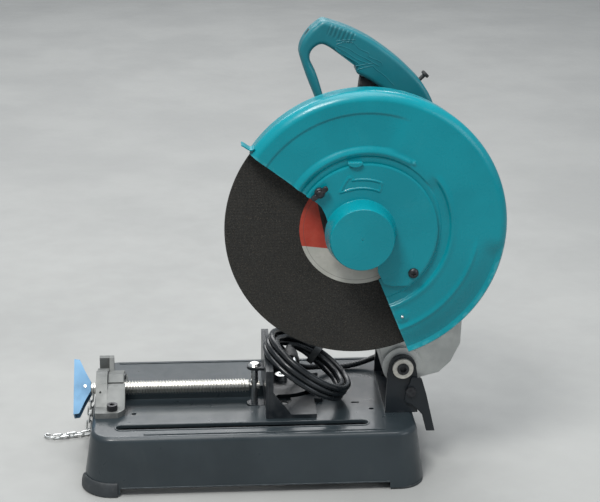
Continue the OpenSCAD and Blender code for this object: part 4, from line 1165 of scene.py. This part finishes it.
# ---------------------------------------------------------------- dressed CAD nodes
dress("foot_rear_near foot_rear_far", rubber, 0.6)
dress("pivot_bracket spark_guard fence jaw_plate", black_paint, 0.7)
dress("fence_pivot_bolt nut_pin clevis_pin", zinc, 0.4)
dress("pivot_bracket_bolts spark_guard_bolts vise_bracket_bolts fence_clamp_bolt pivot_shaft", black_oxide, 0.4)
dress("pivot_ring", ring_metal, 0.5)
dress("vise_nut", bracket_cast, 1.2, 3)
# the vise bracket with well rounded edges, a clipped corner and two small holes in its side
clamp_block = welded(nodes["vise_bracket"].data)
corner_cut = [(-178, -70), (-178, -52), (-184, -62), (-192, -70)]
side_holes = [prism(arc(-216.3, 118.5, 1.7, 0, 330, 11), -80, -30),
              prism(arc(-215.4, 106, 1.5, 0, 330, 11), -80, -30)]
clamp_block = boolean(clamp_block, [prism(corner_cut, 70, 96, "Z")] + side_holes)
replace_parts(make_object("clamp_block", bevelled(clamp_block, 2.6, 4, 40), bracket_cast, "base", 40),
            "vise_bracket")
dress("vise_handle", blue_zinc, 0.5)
dress("handle_pin spindle_bearings armature_bearings large_gear armature_shaft spindle", steel, 0.3)
dress("gear_cover", grey_cast, 2.0, 3)
# the arm casting, cut back so that it stays hidden behind the guard's rim
behind_rim = lathe([(177, -100), (215, -100), (215, -68), (177, -68)], (GX + 2.4, GZ - 2.3), "Y", 200)
trimmed = boolean(welded(nodes["arm_housing"].data), [behind_rim])
arm = make_object("tilting_arm", bevelled(trimmed, 1.4, 3, 40), grey_cast, "head", 40)
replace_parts(arm, "arm_housing")
dress("motor_housing", teal_plastic, 1.5, 3)
dress("motor_end_cover brush_caps hook_plate switch_body trigger strain_relief", black_plastic, 0.9, 3)
dress("stator armature_core", steel, 0.3)
dress("commutator", copper, 0.3)
dress("fan inner_flange", black_oxide, 0.4)
dress("wheel_bolt", black_oxide, 0.5)

# ---------------------------------------------------------------- floor and light
def floor_material():
    m = Nodes("floor", Roughness=0.62)
    colour = m.drift(m.noise(3, 4), 0.35, 0.65, (0.30, 0.305, 0.298), (0.33, 0.335, 0.326))
    return m.done(colour, m.shine(m.noise(20, 4), 0.55, 0.7), m.bump(m.noise(300, 2), 0.0001, 0.2))


bm = bmesh.new()
bmesh.ops.create_grid(bm, x_segments=1, y_segments=1, size=30)
plane = bpy.data.meshes.new("floor")
bm.to_mesh(plane)
bm.free()
floor = bpy.data.objects.new("floor", plane)
collection.objects.link(floor)
plane.materials.append(floor_material())

world = bpy.data.worlds.new("studio")
bpy.context.scene.world = world
world.use_nodes = True
background = world.node_tree.nodes["Background"]
background.inputs["Color"].default_value = (0.80, 0.86, 0.93, 1)
background.inputs["Strength"].default_value = 0.42


def area(name, where, target, size, power, colour=(1, 1, 1)):
    data = bpy.data.lights.new(name, "AREA")
    data.shape = "RECTANGLE"
    data.size, data.size_y = size
    data.energy = power
    data.color = colour
    o = bpy.data.objects.new(name, data)
    collection.objects.link(o)
    o.location = where
    o.rotation_euler = (Vector(target) - Vector(where)).to_track_quat("-Z", "Y").to_euler()


area("key", (-0.9, -1.5, 3.0), (0, 0, 0.2), (1.0, 0.7), 85, (1.0, 0.985, 0.96))
area("fill", (2.4, -1.6, 1.6), (0, 0, 0.25), (1.8, 1.4), 18, (0.93, 0.96, 1.0))
area("back", (-0.2, 3.2, 2.4), (0, 1.2, 0.0), (3.0, 1.4), 60)
area("sky", (0.1, 0.1, 3.0), (0, 0, 0), (2.4, 1.6), 60)
